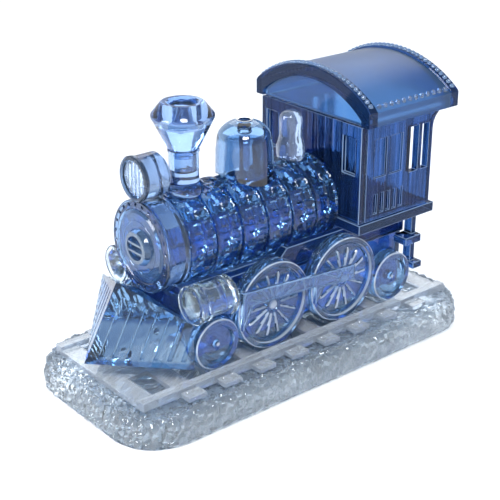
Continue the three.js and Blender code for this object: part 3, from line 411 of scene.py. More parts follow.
track_cast = crystal("track_cast", (0.97, 1.0, 1.0), (0.5, 0.7, 0.95), 4, clarity=0.76)
# Darker plastic for the track's bevelled edges: a painted shade along them.
track_painted_edge_shade = crystal("track_painted_edge_shade", (0.62, 0.70, 0.82), (0.4, 0.5, 0.7), 20, clarity=0.6)
# Painted shade by facing: faces that turn away from upright are darker than the tops.
shaded_by(track_cast, "ShaderNodeNewGeometry", "Normal", [(0.2, (0.66, 0.72, 0.82)), (0.7, (1, 1, 1))])
dress("track_panel", track_cast, 0.3, track_painted_edge_shade)
SPIKE_PROFILE = [(0, -0.25), (0.62, -0.25), (0.6, 0.3), (0.42, 0.52), (0.18, 0.6), (0, 0.62)]
SPIKE_XS = (-1.7, 1.7)  # from the middle of a sleeper
SPIKE_YS = (-24.5, -19.5, 19.5, 24.5)  # a millimetre off each side of each rail
SLEEPERS = 10
SLEEPER_WIDTH = 6.4
RAIL_HEIGHT = 1.3
track_low, track_high = place_of("track_panel")
sleeper_pitch = (track_high.x - track_low.x - SLEEPER_WIDTH) / (SLEEPERS - 1)
spikes = []
for i in range(1, SLEEPERS - 1):
    sleeper_x = track_low.x + SLEEPER_WIDTH / 2 + i * sleeper_pitch
    for step in SPIKE_XS:
        for y in SPIKE_YS:
            spikes.append(turned("z", (sleeper_x + step, y, track_high.z - RAIL_HEIGHT), SPIKE_PROFILE, 12))
moulding("rail_spikes", spikes, track_cast, "track")

# ------------------------------------------------------------------------------------------------
# Chassis. Three deep blue frames lock end to end with jigsaw knobs, between a front beam and a rear
# plate. The running boards, the cab floor and the hanging steps plug on to them.
# ------------------------------------------------------------------------------------------------

# A pale plastic for the bevelled edges of the frames, boards and other flat pieces: a painted highlight along
# them.
painted_edge_highlight = crystal("painted_edge_highlight", (0.38, 0.58, 0.88), (0.3, 0.5, 0.85), 40, clarity=0.65, ior=1.4)
deep_blue = crystal("deep_blue", (0.26, 0.52, 0.92), (0.08, 0.30, 0.68), 45, clarity=0.94, ior=1.4)
for node in ("frame_front", "frame_middle", "frame_rear", "front_beam", "rear_plate"):
    dress(node, deep_blue, 0.25, painted_edge_highlight)
navy = crystal("navy", (0.04, 0.13, 0.38), (0.06, 0.2, 0.5), 80, clarity=0.88, ior=1.3)
for node in ("running_board_left", "running_board_right", "cab_floor", "cab_steps_left", "cab_steps_right"):
    dress(node, navy, 0.2, painted_edge_highlight)

# ------------------------------------------------------------------------------------------------
# Wheels. Each is a pale lilac-blue disc on a plain peg that pushes into the frame. The driving wheels
# have fourteen thin spokes standing on a flat web; the small ones are dished round a boss. Each boss
# and rim edge, and the driving wheels' spoke tops and lip, carry a painted highlight.
# ------------------------------------------------------------------------------------------------


def tint_faces(piece, plastic, chosen):
    """Gives the faces that chosen(centre in millimetres) picks out a plastic that paints light or shade."""
    piece.data.materials.append(plastic)
    for face in piece.data.polygons:
        if chosen(face.center * 1000):
            face.material_index = len(piece.data.materials) - 1


# Pale plastic for a painted highlight on the wheels.
spoke_painted_highlight = crystal("spoke_painted_highlight", (0.74, 0.85, 0.97), (0.4, 0.6, 0.9), 30, clarity=0.6)
lilac = crystal("lilac", (0.33, 0.59, 0.88), (0.15, 0.35, 0.70), 40, clarity=0.96)
WHEEL_DEPTH = 4.4
SPOKES = 14
SPOKE_HALF_WIDTH = 0.5
SPOKE_STAND = 1.0
WEB_DEPTH = 1.4
WEB_START = 2.9
WHEELS = [  # piece, whether it has spokes, and the group that it comes off with
    ("leading_wheel", False, "leading_wheel"),
    ("trailing_wheel", False, "trailing_wheel"),
    ("driving_wheel_front", True, "drivers"),
    ("driving_wheel_rear", True, "drivers"),
]


def wheel(node, side, spoked):
    """One wheel as a profile turned about its axle: boss, web or dish, rim and peg."""
    low, high = place_of(node)
    radius = (high.x - low.x) / 2
    centre = ((low.x + high.x) / 2, 0, (low.z + high.z) / 2)
    outer, inner = (low.y, high.y) if side < 0 else (high.y, low.y)

    def at(depth):
        return outer - side * depth

    if spoked:
        rim = radius - 0.3
        front = [(0, 0.15), (0.7, 0.2), (1.25, 0.45), (1.5, 0.9), (1.9, 0.9), (2.2, 0.55), (2.6, 0.55),
                 (WEB_START, WEB_DEPTH)]
        front += [(WEB_START + (rim * 0.8 - WEB_START) * i / 18, WEB_DEPTH) for i in range(1, 19)]
        front += [(rim * 0.82, 0.6), (rim * 0.84, 0.6), (rim * 0.855, 1.0), (rim * 0.875, 1.0),
                  (rim * 0.89, 0.12), (rim * 0.9, 0), (rim * 0.975, 0), (rim, 0.3), (rim, 3.2),
                  (radius, 3.25), (radius, WHEEL_DEPTH)]
    else:
        rim = radius
        front = [(0, 0.0), (0.6, 0.05), (1.1, 0.35), (1.35, 0.9), (2.1, 1.0), (rim * 0.6, 1.1),
                 (rim * 0.68, 1.0), (rim * 0.72, 0.25), (rim * 0.76, 0), (rim * 0.95, 0), (rim, 0.35),
                 (rim, WHEEL_DEPTH)]
    profile = [(r, at(depth)) for r, depth in front]
    profile += [(PEG_RADIUS + 0.9, at(WHEEL_DEPTH)), (PEG_RADIUS, at(WHEEL_DEPTH)), (PEG_RADIUS, inner),
                (0, inner)]

    def spoke(r, along, angle):
        if not (WEB_START <= r < rim * 0.8) or abs(along - at(WEB_DEPTH)) > 0.01:
            return r, along
        turn = (angle * SPOKES / math.tau + 0.5) % 1 - 0.5
        off = abs(turn) * math.tau / SPOKES * r
        rise = max(0, 1 - off / SPOKE_HALF_WIDTH) * (1 - smooth_step(rim * 0.68, rim * 0.78, r))
        return r, along + side * SPOKE_STAND * rise

    if spoked:
        return turned("y", centre, profile, SPOKES * 14, spoke)
    return turned("y", centre, profile, 96)


for side_name, side in (("left", -1), ("right", 1)):
    for kind, spoked, group in WHEELS:
        node = f"{kind}_{side_name}"
        piece = moulding(f"{kind}.{side_name}", [wheel(node, side, spoked)], lilac, f"{group}_{side_name}",
                         [node], crease=28)
        low, high = place_of(node)
        hub_x, hub_z, radius = (low.x + high.x) / 2, (low.z + high.z) / 2, (high.x - low.x) / 2
        face_y = low.y if side < 0 else high.y

        # picks out the faces that get the painted highlight
        def painted_highlight_faces(spot):
            reach = math.hypot(spot.x - hub_x, spot.z - hub_z) / radius
            depth = abs(spot.y - face_y)
            on_spoke = spoked and 0.2 < reach < 0.78 and depth < WEB_DEPTH - 0.3
            on_lip = spoked and 0.84 < reach < 0.875 and depth < 0.9
            return on_spoke or on_lip or reach < 0.1 or 0.955 < reach < 0.99 and depth < 0.5

        tint_faces(piece, spoke_painted_highlight, painted_highlight_faces)

# ------------------------------------------------------------------------------------------------
# Side rods. A flat bar of pale blue plastic lies against each pair of driving wheels, with a tapered
# leg hanging over the front of each wheel. It comes off sideways.
# ------------------------------------------------------------------------------------------------

rod_blue = crystal("rod_blue", (0.50, 0.72, 0.98), (0.20, 0.40, 0.74), 40, clarity=0.97)
# Their bevelled edges carry the painted edge highlight.
for side_name in ("left", "right"):
    dress(f"side_rod_{side_name}", rod_blue, 0.25, painted_edge_highlight)

# ------------------------------------------------------------------------------------------------
# Steam cylinders. Ice-clear drums with a domed front cover and a flange at each end, each carried
# on a square saddle that plugs against the front frame.
# ------------------------------------------------------------------------------------------------

COVER_DOME = 0.8


def block(xs, ys, zs):
    """A square-edged shell between two values along each axis."""
    points = [(x, y, z) for x in xs for y in ys for z in zs]
    return points, [(0, 1, 3, 2), (4, 6, 7, 5), (0, 4, 5, 1), (2, 3, 7, 6), (0, 2, 6, 4), (1, 5, 7, 3)]


cylinder_ice = crystal("cylinder_ice", (0.88, 0.98, 1.0), (0.4, 0.62, 0.95), 16, clarity=0.97)
for side_name, side in (("left", -1), ("right", 1)):
    low, high = place_of(f"steam_cylinder_{side_name}")
    radius = (high.z - low.z) / 2
    outer_y = low.y if side < 0 else high.y
    inner_y = high.y if side < 0 else low.y
    centre = (0, outer_y - side * radius, (low.z + high.z) / 2)
    front, rear = low.x + COVER_DOME, high.x
    waist = radius - 0.9
    profile = [(0, front - COVER_DOME), (1.6, front - 0.74), (3.0, front - 0.5), (4.0, front - 0.15),
               (4.5, front + 0.15), (4.9, front), (5.7, front), (radius, front + 0.3), (radius, front + 1.3),
               (radius - 0.25, front + 1.6), (waist, front + 1.7), (waist, front + 3.0),
               (radius - 0.2, front + 3.2), (radius - 0.2, front + 4.3), (waist, front + 4.5),
               (waist, rear - 2.0), (radius - 0.3, rear - 1.8), (radius, rear - 1.5), (radius, rear - 0.3),
               (radius - 0.3, rear), (3.4, rear), (3.0, rear - 1.1), (0, rear - 1.1)]
    saddle = block((front + 5, rear - 2.4), sorted((centre[1] - side * (radius - 1.6), inner_y)),
                   (centre[2] - 2.9, centre[2] + 1.0))
    moulding(f"steam_cylinder.{side_name}", [turned("x", centre, profile, 72), saddle], cylinder_ice,
             f"cylinder_{side_name}", [f"steam_cylinder_{side_name}"])

# ------------------------------------------------------------------------------------------------
# Cowcatcher. One teal-blue moulding: two slatted faces that meet at the nose, over a solid bottom
# bar. It plugs on to the front beam with two pegs.
# ------------------------------------------------------------------------------------------------

# Pale plastic for the cowcatcher's bevelled edges: a painted highlight along them.
cow_painted_edge_highlight = crystal("cow_painted_edge_highlight", (0.80, 0.91, 0.97), (0.3, 0.55, 0.8), 30, clarity=0.5)
teal = crystal("teal", (0.62, 0.80, 0.93), (0.10, 0.38, 0.66), 26, clarity=0.98)
# Painted shade by height: dark over the bottom bar, light over the slats, darker again over the upper part.
shaded_by(teal, "ShaderNodeTexCoord", "Generated", [
    (0, (0.06, 0.2, 0.45)), (0.07, (0.10, 0.28, 0.55)), (0.11, (1, 1, 1)), (0.55, (0.9, 0.95, 1)),
    (0.66, (0.42, 0.58, 0.76)), (1, (0.5, 0.65, 0.8))])
dress("cowcatcher", teal, 0.35, cow_painted_edge_highlight)

# ------------------------------------------------------------------------------------------------
# Boiler. Six deep blue rings thread on to a square spine. Each has a raised band at its front edge,
# two rows of shallow windows round it and eight pockets moulded into its rear face.
# ------------------------------------------------------------------------------------------------

barrel_blue = crystal("barrel_blue", (0.29, 0.58, 0.90), (0.05, 0.28, 0.62), 34, clarity=0.98, ior=1.45)
spine_low, spine_high = place_of("boiler_spine")
BORE_HALF = (spine_high.z - spine_low.z) / 2 + GAP
SQUARE_BORE = -1  # stands in a profile for the reach of the square bore
barrel_centre = (0, 0, (spine_low.z + spine_high.z) / 2)
BAND_LONG = 1.4
BAND_STAND = 0.5
WINDOWS = 20
WINDOW_ROWS = 2
WINDOW_SINK = 0.55
WINDOW_STEPS = 20
POCKETS = 8
POCKET_DEPTH = 3.0
POCKET_INNER = (7.4, 7.9)  # a pocket's inner wall slopes between these radii
POCKET_OUTER = (11.2, 11.7)
REAR_FACE_RADIUS = 12.6
RING_AROUND = 160
CHIMNEY_RADIUS = 4.5


def box_window(share, margin):
    """1 in the middle of a repeating cell and 0 on the bars between cells."""
    across = abs((share % 1) - 0.5)
    return 1 - smooth_step(0.5 - margin - 0.06, 0.5 - margin + 0.02, across)


def bore_reach(angle):
    """Distance from the barrel's centre line to the wall of its square bore."""
    return BORE_HALF / max(abs(math.cos(angle)), abs(math.sin(angle)))


chimney_low, chimney_high = place_of("chimney_shaft")
dome_low, dome_high = place_of("steam_dome")
bell_low, bell_high = place_of("bell")
MOUNTING_XS = [(low.x + high.x) / 2 for low, high in
               ((chimney_low, chimney_high), (dome_low, dome_high), (bell_low, bell_high))]
SPIGOTS = (CHIMNEY_RADIUS, PEG_RADIUS, PEG_RADIUS)
for i in range(1, 7):
    low, high = place_of(f"boiler_ring_{i}")
    radius = (high.z - low.z) / 2
    sunk = radius - BAND_STAND
    start, end = low.x, high.x
    band_end = start + BAND_LONG
    pane_length = end - start - BAND_LONG - 0.6
    outer = [(radius - 0.2, start), (radius, start + 0.2), (radius, band_end), (sunk, band_end + 0.5)]
    outer += [(sunk, band_end + 0.5 + pane_length * k / WINDOW_STEPS) for k in range(1, WINDOW_STEPS + 1)]
    rear = [(sunk - 0.15, end)] + [(REAR_FACE_RADIUS - 0.42 * k, end) for k in range(14)]
    bore = [(SQUARE_BORE, end), (SQUARE_BORE, start)]
    front_face = [(9.0, start), (radius - 1.6, start)]

    def ring_shape(r, along, angle):
        if r == SQUARE_BORE:
            return bore_reach(angle), along
        if abs(r - sunk) < 0.01 and along > band_end + 0.7:
            share = (along - band_end - 0.6) / (pane_length - 0.1) * WINDOW_ROWS
            pane = box_window(share, 0.09) * box_window(angle * WINDOWS / math.tau, 0.13)
            return r - WINDOW_SINK * pane, along
        if along == end and r <= REAR_FACE_RADIUS:
            pocket = box_window(angle * POCKETS / math.tau, 0.16)
            pocket *= smooth_step(*POCKET_INNER, r) - smooth_step(*POCKET_OUTER, r)
            return r, along - POCKET_DEPTH * pocket
        return r, along

    shell = turned("x", barrel_centre, outer + rear + bore + front_face, RING_AROUND, ring_shape, closed=True)
    ring = moulding(f"boiler_ring.{i}", [shell], barrel_blue, "boiler", [f"boiler_ring_{i}"])
    crown_z = barrel_centre[2] + radius
    drill(ring, [("z", (x, 0, 0), spigot + GAP, crown_z - SOCKET_DEPTH - 0.4, crown_z + 2)
                 for x, spigot in zip(MOUNTING_XS, SPIGOTS) if start - spigot < x < end + spigot])
dress("boiler_spine", deep_blue, edge=0.4)

# ------------------------------------------------------------------------------------------------
# Smokebox and door. The barrel's front piece is a blue moulding that ends in a wide flange, with
# twenty-four small pits round it. The round door plugs into its recess by one thick peg, and two
# bars cross the hollow of the door's raised hub.
# ------------------------------------------------------------------------------------------------

flange_blue = crystal("flange_blue", (0.40, 0.61, 0.88), (0.08, 0.27, 0.60), 42, clarity=0.96)
PITS = 24
PIT_RADIUS = 0.55
PIT_DEPTH = 0.9
PIT_SPREAD = 0.9  # half the band of the flange that is divided finely for the pits
DOOR_PEG_RADIUS = 3.0
DOOR_RECESS = 2
box_low, box_high = place_of("smokebox")
door_low, door_high = place_of("smokebox_door")
flange_radius = (box_high.y - box_low.y) / 2
door_radius = (door_high.y - door_low.y) / 2
door_back = box_low.x + DOOR_RECESS
recess_radius = door_radius + GAP
pit_ring = (flange_radius + door_radius) / 2 + 0.2
face = [(recess_radius, door_back + GAP), (recess_radius, box_low.x + 0.25), (door_radius + 0.6, box_low.x)]
face += [(pit_ring - PIT_SPREAD + 0.15 * k, box_low.x) for k in range(13)]
face += [(flange_radius - 0.35, box_low.x), (flange_radius, box_low.x + 0.35)]
side_wall = [(flange_radius, box_low.x + 2.4), (flange_radius - 0.25, box_low.x + 2.7),
             (flange_radius - 0.8, box_low.x + 3.0), (flange_radius - 0.8, box_high.x - 1.4),
             (flange_radius - 0.2, box_high.x - 0.8), (flange_radius - 0.2, box_high.x)]


def flange_pits(r, along, angle):
    if r == SQUARE_BORE:
        return bore_reach(angle), along
    if abs(r - pit_ring) < PIT_SPREAD + 0.05 and along == box_low.x:
        turn = ((angle * PITS / math.tau) % 1 - 0.5) * math.tau / PITS * pit_ring
        reach = math.hypot(turn, r - pit_ring)
        return r, along + PIT_DEPTH * (1 - smooth_step(PIT_RADIUS * 0.5, PIT_RADIUS, reach))
    return r, along


def from_middle(spot):
    return math.hypot(spot.y, spot.z - barrel_centre[2])


spine_clear = spine_low.x - GAP
inside = [(7.5, box_high.x), (SQUARE_BORE, box_high.x), (SQUARE_BORE, spine_clear), (0, spine_clear)]
smokebox_profile = [(0, door_back + GAP)] + face + side_wall + inside
smokebox_shell = turned("x", barrel_centre, smokebox_profile, PITS * 12, flange_pits)
smokebox = moulding("smokebox_barrel", [smokebox_shell], flange_blue, "boiler", ["smokebox"])
pit_shade = crystal("pit_shade", (0.05, 0.10, 0.24), (0.1, 0.2, 0.5), 60, clarity=0.7)
tint_faces(smokebox, pit_shade, lambda spot: box_low.x + 0.2 < spot.x < door_back - 0.2
           and abs(from_middle(spot) - pit_ring) < PIT_RADIUS)
drill(smokebox, [("x", barrel_centre, DOOR_PEG_RADIUS + GAP, door_back, door_high.x + GAP)])

HUB_RECESS = 1.4
HUB_STAND = 1.8
BAR_ROWS = (-1.25, 1.25)
BAR_HALF_LONG = 3.45
BAR_HALF_HIGH = 0.35
hub_face = door_low.x
hub_floor = hub_face + HUB_RECESS
door_face = hub_face + HUB_STAND
door_profile = [(0, hub_floor), (3.6, hub_floor), (3.72, hub_face + 0.1), (3.8, hub_face), (4.75, hub_face),
                (5.0, hub_face + 0.25), (5.7, door_face), (7.6, door_face), (7.75, door_face - 0.12),
                (7.95, door_face - 0.12), (8.1, door_face), (door_radius - 0.7, door_face),
                (door_radius, door_face + 0.55), (door_radius, door_back), (DOOR_PEG_RADIUS, door_back),
                (DOOR_PEG_RADIUS, door_high.x), (0, door_high.x)]
door_shells = [turned("x", barrel_centre, door_profile, 120)]
for row in BAR_ROWS:
    z = barrel_centre[2] + row
    door_shells.append(block((hub_face + 0.15, hub_floor + 0.2), (-BAR_HALF_LONG, BAR_HALF_LONG),
                             (z - BAR_HALF_HIGH, z + BAR_HALF_HIGH)))
door_blue = crystal("door_blue", (0.27, 0.49, 0.80), (0.1, 0.28, 0.62), 50)
door = moulding("smokebox_door.1", door_shells, door_blue, "door", ["smokebox_door"])
hub_painted_highlight = crystal("hub_painted_highlight", (0.55, 0.74, 0.95), (0.2, 0.4, 0.8), 40, clarity=0.8)
# Painted shade in the hub's hollow, and a painted highlight on the front faces of the hub and its bars.
tint_faces(door, pit_shade, lambda spot: from_middle(spot) < 3.5 and spot.x > hub_floor - 0.1)
tint_faces(door, hub_painted_highlight, lambda spot: spot.x < hub_face + 0.5)

# ------------------------------------------------------------------------------------------------
# Chimney. An ice-clear hollow shaft with a flared foot that fits the barrel, and a funnel cap with a
# wide rim and an open mouth, which plugs into the shaft.
# ------------------------------------------------------------------------------------------------

SEAT_GAP = 0.05  # between a foot's edge and the widest ring
SEAT_SPREAD = 0.03  # keeps the rows of a cut foot apart
SPIGOT_DEPTH = 3
CAP_SPIGOT_RADIUS = 2.6


def seated(shell, seat_x, spigot=PEG_RADIUS):
    """Lifts the foot of a mounting so that it follows the barrel under it."""
    points, faces = shell
    lowest = min(z for _, _, z in points)
    ring_low, ring_high = place_of("boiler_ring_6")
    seat_radius = (ring_high.z - ring_low.z) / 2 + SEAT_GAP
    fitted = []
    for x, y, z in points:
        if math.hypot(x - seat_x, y) > spigot + 0.05:
            seat = barrel_centre[2] + math.sqrt(max(seat_radius ** 2 - y * y, 0))
            z = max(z, seat + SEAT_SPREAD * (z - lowest))
        fitted.append((x, y, z))
    return fitted, faces


ice = crystal("ice", (0.50, 0.67, 0.88), (0.2, 0.42, 0.78), 46, clarity=1.0, ior=1.55)
chimney_x, dome_x, bell_x = MOUNTING_XS
stem, foot, joint = CHIMNEY_RADIUS, chimney_low.z + 2, chimney_high.z
shaft_profile = [(0, chimney_low.z), (stem - 0.5, chimney_low.z), (stem, chimney_low.z + 0.5), (stem, foot),
                 (6.1, foot), (6.1, foot + 2.6), (5.9, foot + 3.3), (5.2, foot + 3.9),
                 (stem + 0.1, foot + 4.6), (stem, foot + 5.6), (stem, joint - 1.2),
                 (stem + 0.25, joint - 0.9), (stem + 0.25, joint - 0.2), (stem, joint),
                 (CAP_SPIGOT_RADIUS + GAP, joint), (CAP_SPIGOT_RADIUS + GAP, foot + 8), (2.5, foot + 7.4),
                 (0, foot + 7.2)]
shaft = seated(turned("z", (chimney_x, 0, 0), shaft_profile, 72), chimney_x, spigot=stem)
moulding("chimney_shaft.1", [shaft], ice, "chimney", ["chimney_shaft"])
cap_low, cap_high = place_of("chimney_cap")
cap_bottom, cap_top = cap_low.z + SPIGOT_DEPTH, cap_high.z
wide = (cap_high.x - cap_low.x) / 2
cap_profile = [(0, cap_low.z), (CAP_SPIGOT_RADIUS, cap_low.z), (CAP_SPIGOT_RADIUS, cap_bottom),
               (4.7, cap_bottom), (5.1, cap_bottom + 0.5), (wide - 0.2, cap_top - 4.9), (wide, cap_top - 4.5),
               (wide, cap_top - 3.8), (wide - 0.2, cap_top - 3.4), (wide * 0.7, cap_top - 0.25),
               (wide * 0.66, cap_top), (wide * 0.52, cap_top), (wide * 0.48, cap_top - 0.4),
               (wide * 0.44, cap_top - 6), (wide * 0.3, cap_top - 6.6), (0, cap_top - 6.8)]
moulding("chimney_cap.1", [turned("z", (chimney_x, 0, 0), cap_profile, 48)], ice, "chimney_cap",
         ["chimney_cap"])

# ------------------------------------------------------------------------------------------------
# Steam dome. A thick bell jar in ice blue, with a vault inside it and a shallow round hole in its
# crown. Its foot is cut to the barrel, and a long centre peg holds it.
# ------------------------------------------------------------------------------------------------

DOME_WALL = 2.6
DOME_STEPS = 14
dome_radius = (dome_high.x - dome_low.x) / 2
crown = dome_radius * 0.72
dome_top = dome_high.z
neck = dome_top - crown
dome_foot = barrel_centre[2] + 8
jar = [(dome_radius, dome_foot), (dome_radius, dome_foot + 5), (dome_radius - 0.15, neck - 3),
       (dome_radius - 0.5, neck)]
vault = [(dome_radius - DOME_WALL, dome_foot)]
for k in range(DOME_STEPS):
    angle = math.pi / 2 * k / DOME_STEPS
    reach = (dome_radius - DOME_WALL - 0.5) * math.cos(angle)
    if 0 < k < DOME_STEPS - 1:
        jar.append(((dome_radius - 0.5) * math.cos(angle), neck + crown * math.sin(angle)))
    if reach > PEG_RADIUS + 0.2:
        vault.append((reach, neck + (crown - DOME_WALL - 1) * math.sin(angle)))
crown_hole = [(0, dome_top - 1.8), (0.9, dome_top - 1.8), (2.1, dome_top - 1.5), (2.3, dome_top - 0.35),
              (2.6, dome_top - 0.1)]
centre_peg = [(PEG_RADIUS, dome_top - DOME_WALL - 1.2), (PEG_RADIUS, dome_low.z), (0, dome_low.z)]
dome_profile = crown_hole + jar[::-1] + vault + centre_peg
dome = seated(turned("z", (dome_x, 0, 0), dome_profile, 96), dome_x)
dome_ice = crystal("dome_ice", (0.30, 0.47, 0.67), (0.2, 0.42, 0.74), 50, clarity=1.0, ior=1.58)
moulding("steam_dome.1", [dome], dome_ice, "dome", ["steam_dome"])

# ------------------------------------------------------------------------------------------------
# Bell. A small solid moulding in clear plastic, with a waist, a rounded faceted crown and a spread
# foot that follows the barrel. A peg under it plugs into the barrel.
# ------------------------------------------------------------------------------------------------

glass_clear = crystal("glass_clear", (0.70, 0.83, 0.97), (0.4, 0.6, 0.9), 50, clarity=0.92, wave=0.6)
FACET_SINK = 0.05
bell_foot = bell_low.z + 3
bell_top = bell_high.z
bell_profile = [(0, bell_low.z), (PEG_RADIUS, bell_low.z), (PEG_RADIUS, bell_foot + 0.5), (4.3, bell_foot),
                (4.6, bell_foot + 2.5), (4.55, bell_foot + 4.5), (4.0, bell_foot + 6.3),
                (3.6, bell_foot + 7.8), (3.6, bell_top - 4.2), (3.75, bell_top - 3.4), (3.5, bell_top - 1.9),
                (2.8, bell_top - 0.8), (1.6, bell_top - 0.15), (0, bell_top)]


def bell_facets(radius, along, angle):
    if radius < 2:
        return radius, along
    return radius * (1 - FACET_SINK * abs(math.sin(angle * 4))), along


bell = seated(turned("z", (bell_x, 0, 0), bell_profile, 64, bell_facets), bell_x)
moulding("bell.1", [bell], glass_clear, "bell", ["bell"])

# ------------------------------------------------------------------------------------------------
# Headlamp. A clear drum with a painted shade on its front rim, on a foot that slides into the smokebox
# from the front. Its lens is a separate disc with upright flutes.
# ------------------------------------------------------------------------------------------------

lamp_ice = crystal("lamp_ice", (0.43, 0.57, 0.74), (0.3, 0.48, 0.78), 60, clarity=0.97)
LAMP_RIM = 1.6
LAMP_FOOT_HALF = 2
lamp_low, lamp_high = place_of("headlamp_body")
lamp_radius = (lamp_high.y - lamp_low.y) / 2
lamp_centre = (0, 0, lamp_high.z - lamp_radius)
lamp_front, lamp_back = lamp_low.x, lamp_high.x
lens_radius = lamp_radius - LAMP_RIM
drum_profile = [(0, lamp_front + 1.9), (lens_radius + GAP, lamp_front + 1.9),
                (lens_radius + GAP, lamp_front + 0.3), (lens_radius + 0.5, lamp_front),
                (lamp_radius - 0.3, lamp_front), (lamp_radius, lamp_front + 0.3),
                (lamp_radius, lamp_front + 1.1), (lamp_radius - 0.3, lamp_front + 1.4),
                (lamp_radius - 0.3, lamp_back - 1.2), (lamp_radius - 0.9, lamp_back - 0.4),
                (lamp_radius - 1.8, lamp_back), (0, lamp_back)]
lamp_foot = block((box_low.x + 0.4, lamp_back - 0.6), (-LAMP_FOOT_HALF, LAMP_FOOT_HALF),
                  (lamp_low.z, lamp_centre[2] - lens_radius - 0.6))
drum = moulding("headlamp_drum", [turned("x", lamp_centre, drum_profile, 96), lamp_foot], lamp_ice,
                "headlamp", ["headlamp_body"])
rim_shade = crystal("rim_shade", (0.16, 0.27, 0.46), (0.1, 0.2, 0.5), 60, clarity=0.9)
# Painted shade on the rim round the lens.
tint_faces(drum, rim_shade, lambda spot: spot.x < lamp_front + 1.3
           and math.hypot(spot.y, spot.z - lamp_centre[2]) > lens_radius + 0.35)
LENS_BULGE = 0.5
FLUTE_DEPTH = 0.16
FLUTE_PITCH = 1.7
lens_low, lens_high = place_of("headlamp_lens")
lens_edge = lens_low.x + 0.8
lens_profile = [(lens_radius * k / 12, lens_edge - LENS_BULGE + LENS_BULGE * (k / 12) ** 3)
                for k in range(12)]
lens_profile += [(lens_radius, lens_edge + 0.1), (lens_radius, lens_high.x), (0, lens_high.x)]


def flutes(radius, along, angle):
    if along > lens_edge - 0.005 or radius == 0:
        return radius, along
    return radius, along - FLUTE_DEPTH * math.cos(math.tau * radius * math.cos(angle) / FLUTE_PITCH)


moulding("headlamp_lens.1", [turned("x", lamp_centre, lens_profile, 120, flutes)], glass_clear, "lens",
         ["headlamp_lens"])

# ------------------------------------------------------------------------------------------------
# Cab. Flat navy panels stand on the cab floor: a front wall with two windows, two planked sides with
# open slits at the rear posts, and the backhead that closes the boiler.
# ------------------------------------------------------------------------------------------------

cab_navy = crystal("cab_navy", (0.045, 0.15, 0.47), (0.08, 0.22, 0.55), 50, clarity=0.9, wave=1.0, grain=620,
                   ior=1.27, shade_low=0.15, stretch=24)
# Their bevelled edges carry the painted edge highlight.
for node in ("cab_front_wall", "cab_side_left", "cab_side_right", "backhead"):
    dress(node, cab_navy, 0.22, painted_edge_highlight)

# ------------------------------------------------------------------------------------------------
# Roof. A smooth arched shell with a raised, riveted band at each end and a row of beads above each
# eave. Two gables close its ends. The arch and its bands are lighter and darker copies of one plastic,
# painted light and shade, and the rivets and beads carry a painted highlight.
# ------------------------------------------------------------------------------------------------

# Darker and lighter copies of one plastic for the roof's bands and arch: painted shade and light.
roof_navy = crystal("roof_navy", (0.025, 0.085, 0.26), (0.1, 0.22, 0.5), 60, clarity=0.85, wave=0.05,
                    grain=110, ior=1.3)
roof_blue = crystal("roof_blue", (0.085, 0.22, 0.48), (0.15, 0.3, 0.58), 40, clarity=0.8, wave=0.05,
                    grain=110, polish=(0.26, 0.38), ior=1.36)
roof_low, roof_high = place_of("roof_shell")
ROOF_EAVE = 4.6
ROOF_SKIN = 3.4
BAND_WIDTH = 3.6
BAND_RISE = 0.55
ARCH_STEPS = 84
EAVE_ROUND = 0.6
half = roof_high.y
eave_z = roof_low.z + ROOF_EAVE
rise = roof_high.z - BAND_RISE - eave_z


def arch_points(half, eave, rise, steps):
    """Points over a round arch, from the left eave to the right one."""
    radius = (half * half + rise * rise) / (2 * rise)
    spread = math.asin(half / radius)
    turns = [spread * (2 * k / steps - 1) for k in range(steps + 1)]
    return [(radius * math.sin(turn), eave + rise - radius + radius * math.cos(turn)) for turn in turns]


def roof_section(x, lift):
    """The outline of the roof across the cab, with its outer skin lifted over the bands."""
    outer = arch_points(half, eave_z, rise, ARCH_STEPS)
    inner = arch_points(half - ROOF_SKIN, eave_z - ROOF_SKIN * 0.8, rise - ROOF_SKIN * 0.2, ARCH_STEPS)
    skin = [(x, y, z + lift * min(1, (half - abs(y)) / EAVE_ROUND)) for y, z in outer]
    ring = [(x, -half, roof_low.z)] + skin + [(x, half, roof_low.z), (x, half - ROOF_SKIN, roof_low.z)]
    return ring + [(x, y, z) for y, z in reversed(inner)] + [(x, ROOF_SKIN - half, roof_low.z)]


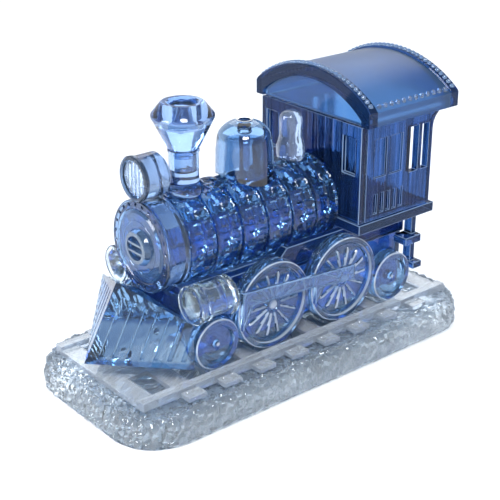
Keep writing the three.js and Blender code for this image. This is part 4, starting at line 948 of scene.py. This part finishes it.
front_x, rear_x = roof_low.x, roof_high.x
stations = [(front_x, BAND_RISE - 0.2), (front_x + 0.2, BAND_RISE), (front_x + BAND_WIDTH - 0.25, BAND_RISE),
            (front_x + BAND_WIDTH, 0), (rear_x - BAND_WIDTH, 0), (rear_x - BAND_WIDTH + 0.25, BAND_RISE),
            (rear_x - 0.2, BAND_RISE), (rear_x, BAND_RISE - 0.2)]
points, rows = [], []
for x, lift in stations:
    section = roof_section(x, lift)
    rows.append(list(range(len(points), len(points) + len(section))))
    points += section
faces = rows_to_faces(rows)
count = len(rows[0])
for row in (rows[0], rows[-1]):
    for k in range(count // 2 - 1):
        faces.append((row[k], row[k + 1], row[count - 2 - k], row[count - 1 - k]))
arch = moulding("roof_arch", [(points, faces)], roof_blue, "roof", ["roof_shell"], crease=25)
# The bands take the darker copy: painted shade against the lighter arch.
tint_faces(arch, roof_navy, lambda spot: min(spot.x - front_x, rear_x - spot.x) < BAND_WIDTH)

RIVET_PROFILE = [(0, -0.3), (0.85, -0.25), (0.82, 0.25), (0.62, 0.62), (0.32, 0.84), (0, 0.9)]
BEAD_PROFILE = [(0, -0.4), (0.8, -0.35), (0.8, 0.3), (0.64, 0.75), (0.32, 1.0), (0, 1.05)]
RIVET_GAPS = 30  # from eave to eave
BEADS = 12
BEAD_INSET = 1.6
# Pale plastics for the rivets and beads: a painted highlight on each.
rivet_painted_highlight = crystal("rivet_painted_highlight", (0.30, 0.48, 0.76), (0.2, 0.4, 0.7), 50, clarity=0.7)
bead_painted_highlight = crystal("bead_painted_highlight", (0.66, 0.80, 0.97), (0.3, 0.48, 0.8), 50)
rivet_line = arch_points(half, eave_z, rise, RIVET_GAPS)[1:-1]
rivets = [turned("z", (x, y, z + BAND_RISE), RIVET_PROFILE, 12)
          for x in (front_x + BAND_WIDTH / 2, rear_x - BAND_WIDTH / 2) for y, z in rivet_line]
first_bead = front_x + BAND_WIDTH + BEAD_INSET
bead_pitch = (rear_x - front_x - 2 * (BAND_WIDTH + BEAD_INSET)) / (BEADS - 1)
beads = [turned("z", (first_bead + k * bead_pitch, y + side * 0.2, z - 0.1), BEAD_PROFILE, 12)
         for side, (y, z) in ((-1, rivet_line[0]), (1, rivet_line[-1])) for k in range(BEADS)]
moulding("roof_rivets", rivets, rivet_painted_highlight, "roof")
moulding("eave_beads", beads, bead_painted_highlight, "roof")
gable_blue = crystal("gable_blue", (0.11, 0.30, 0.64), (0.15, 0.32, 0.64), 50, clarity=0.85, wave=0.08,
                     grain=90, polish=(0.08, 0.2), ior=1.35)
# Their bevelled edges carry the painted edge highlight.
for node in ("roof_gable_front", "roof_gable_rear"):
    dress(node, gable_blue, 0.3, painted_edge_highlight)
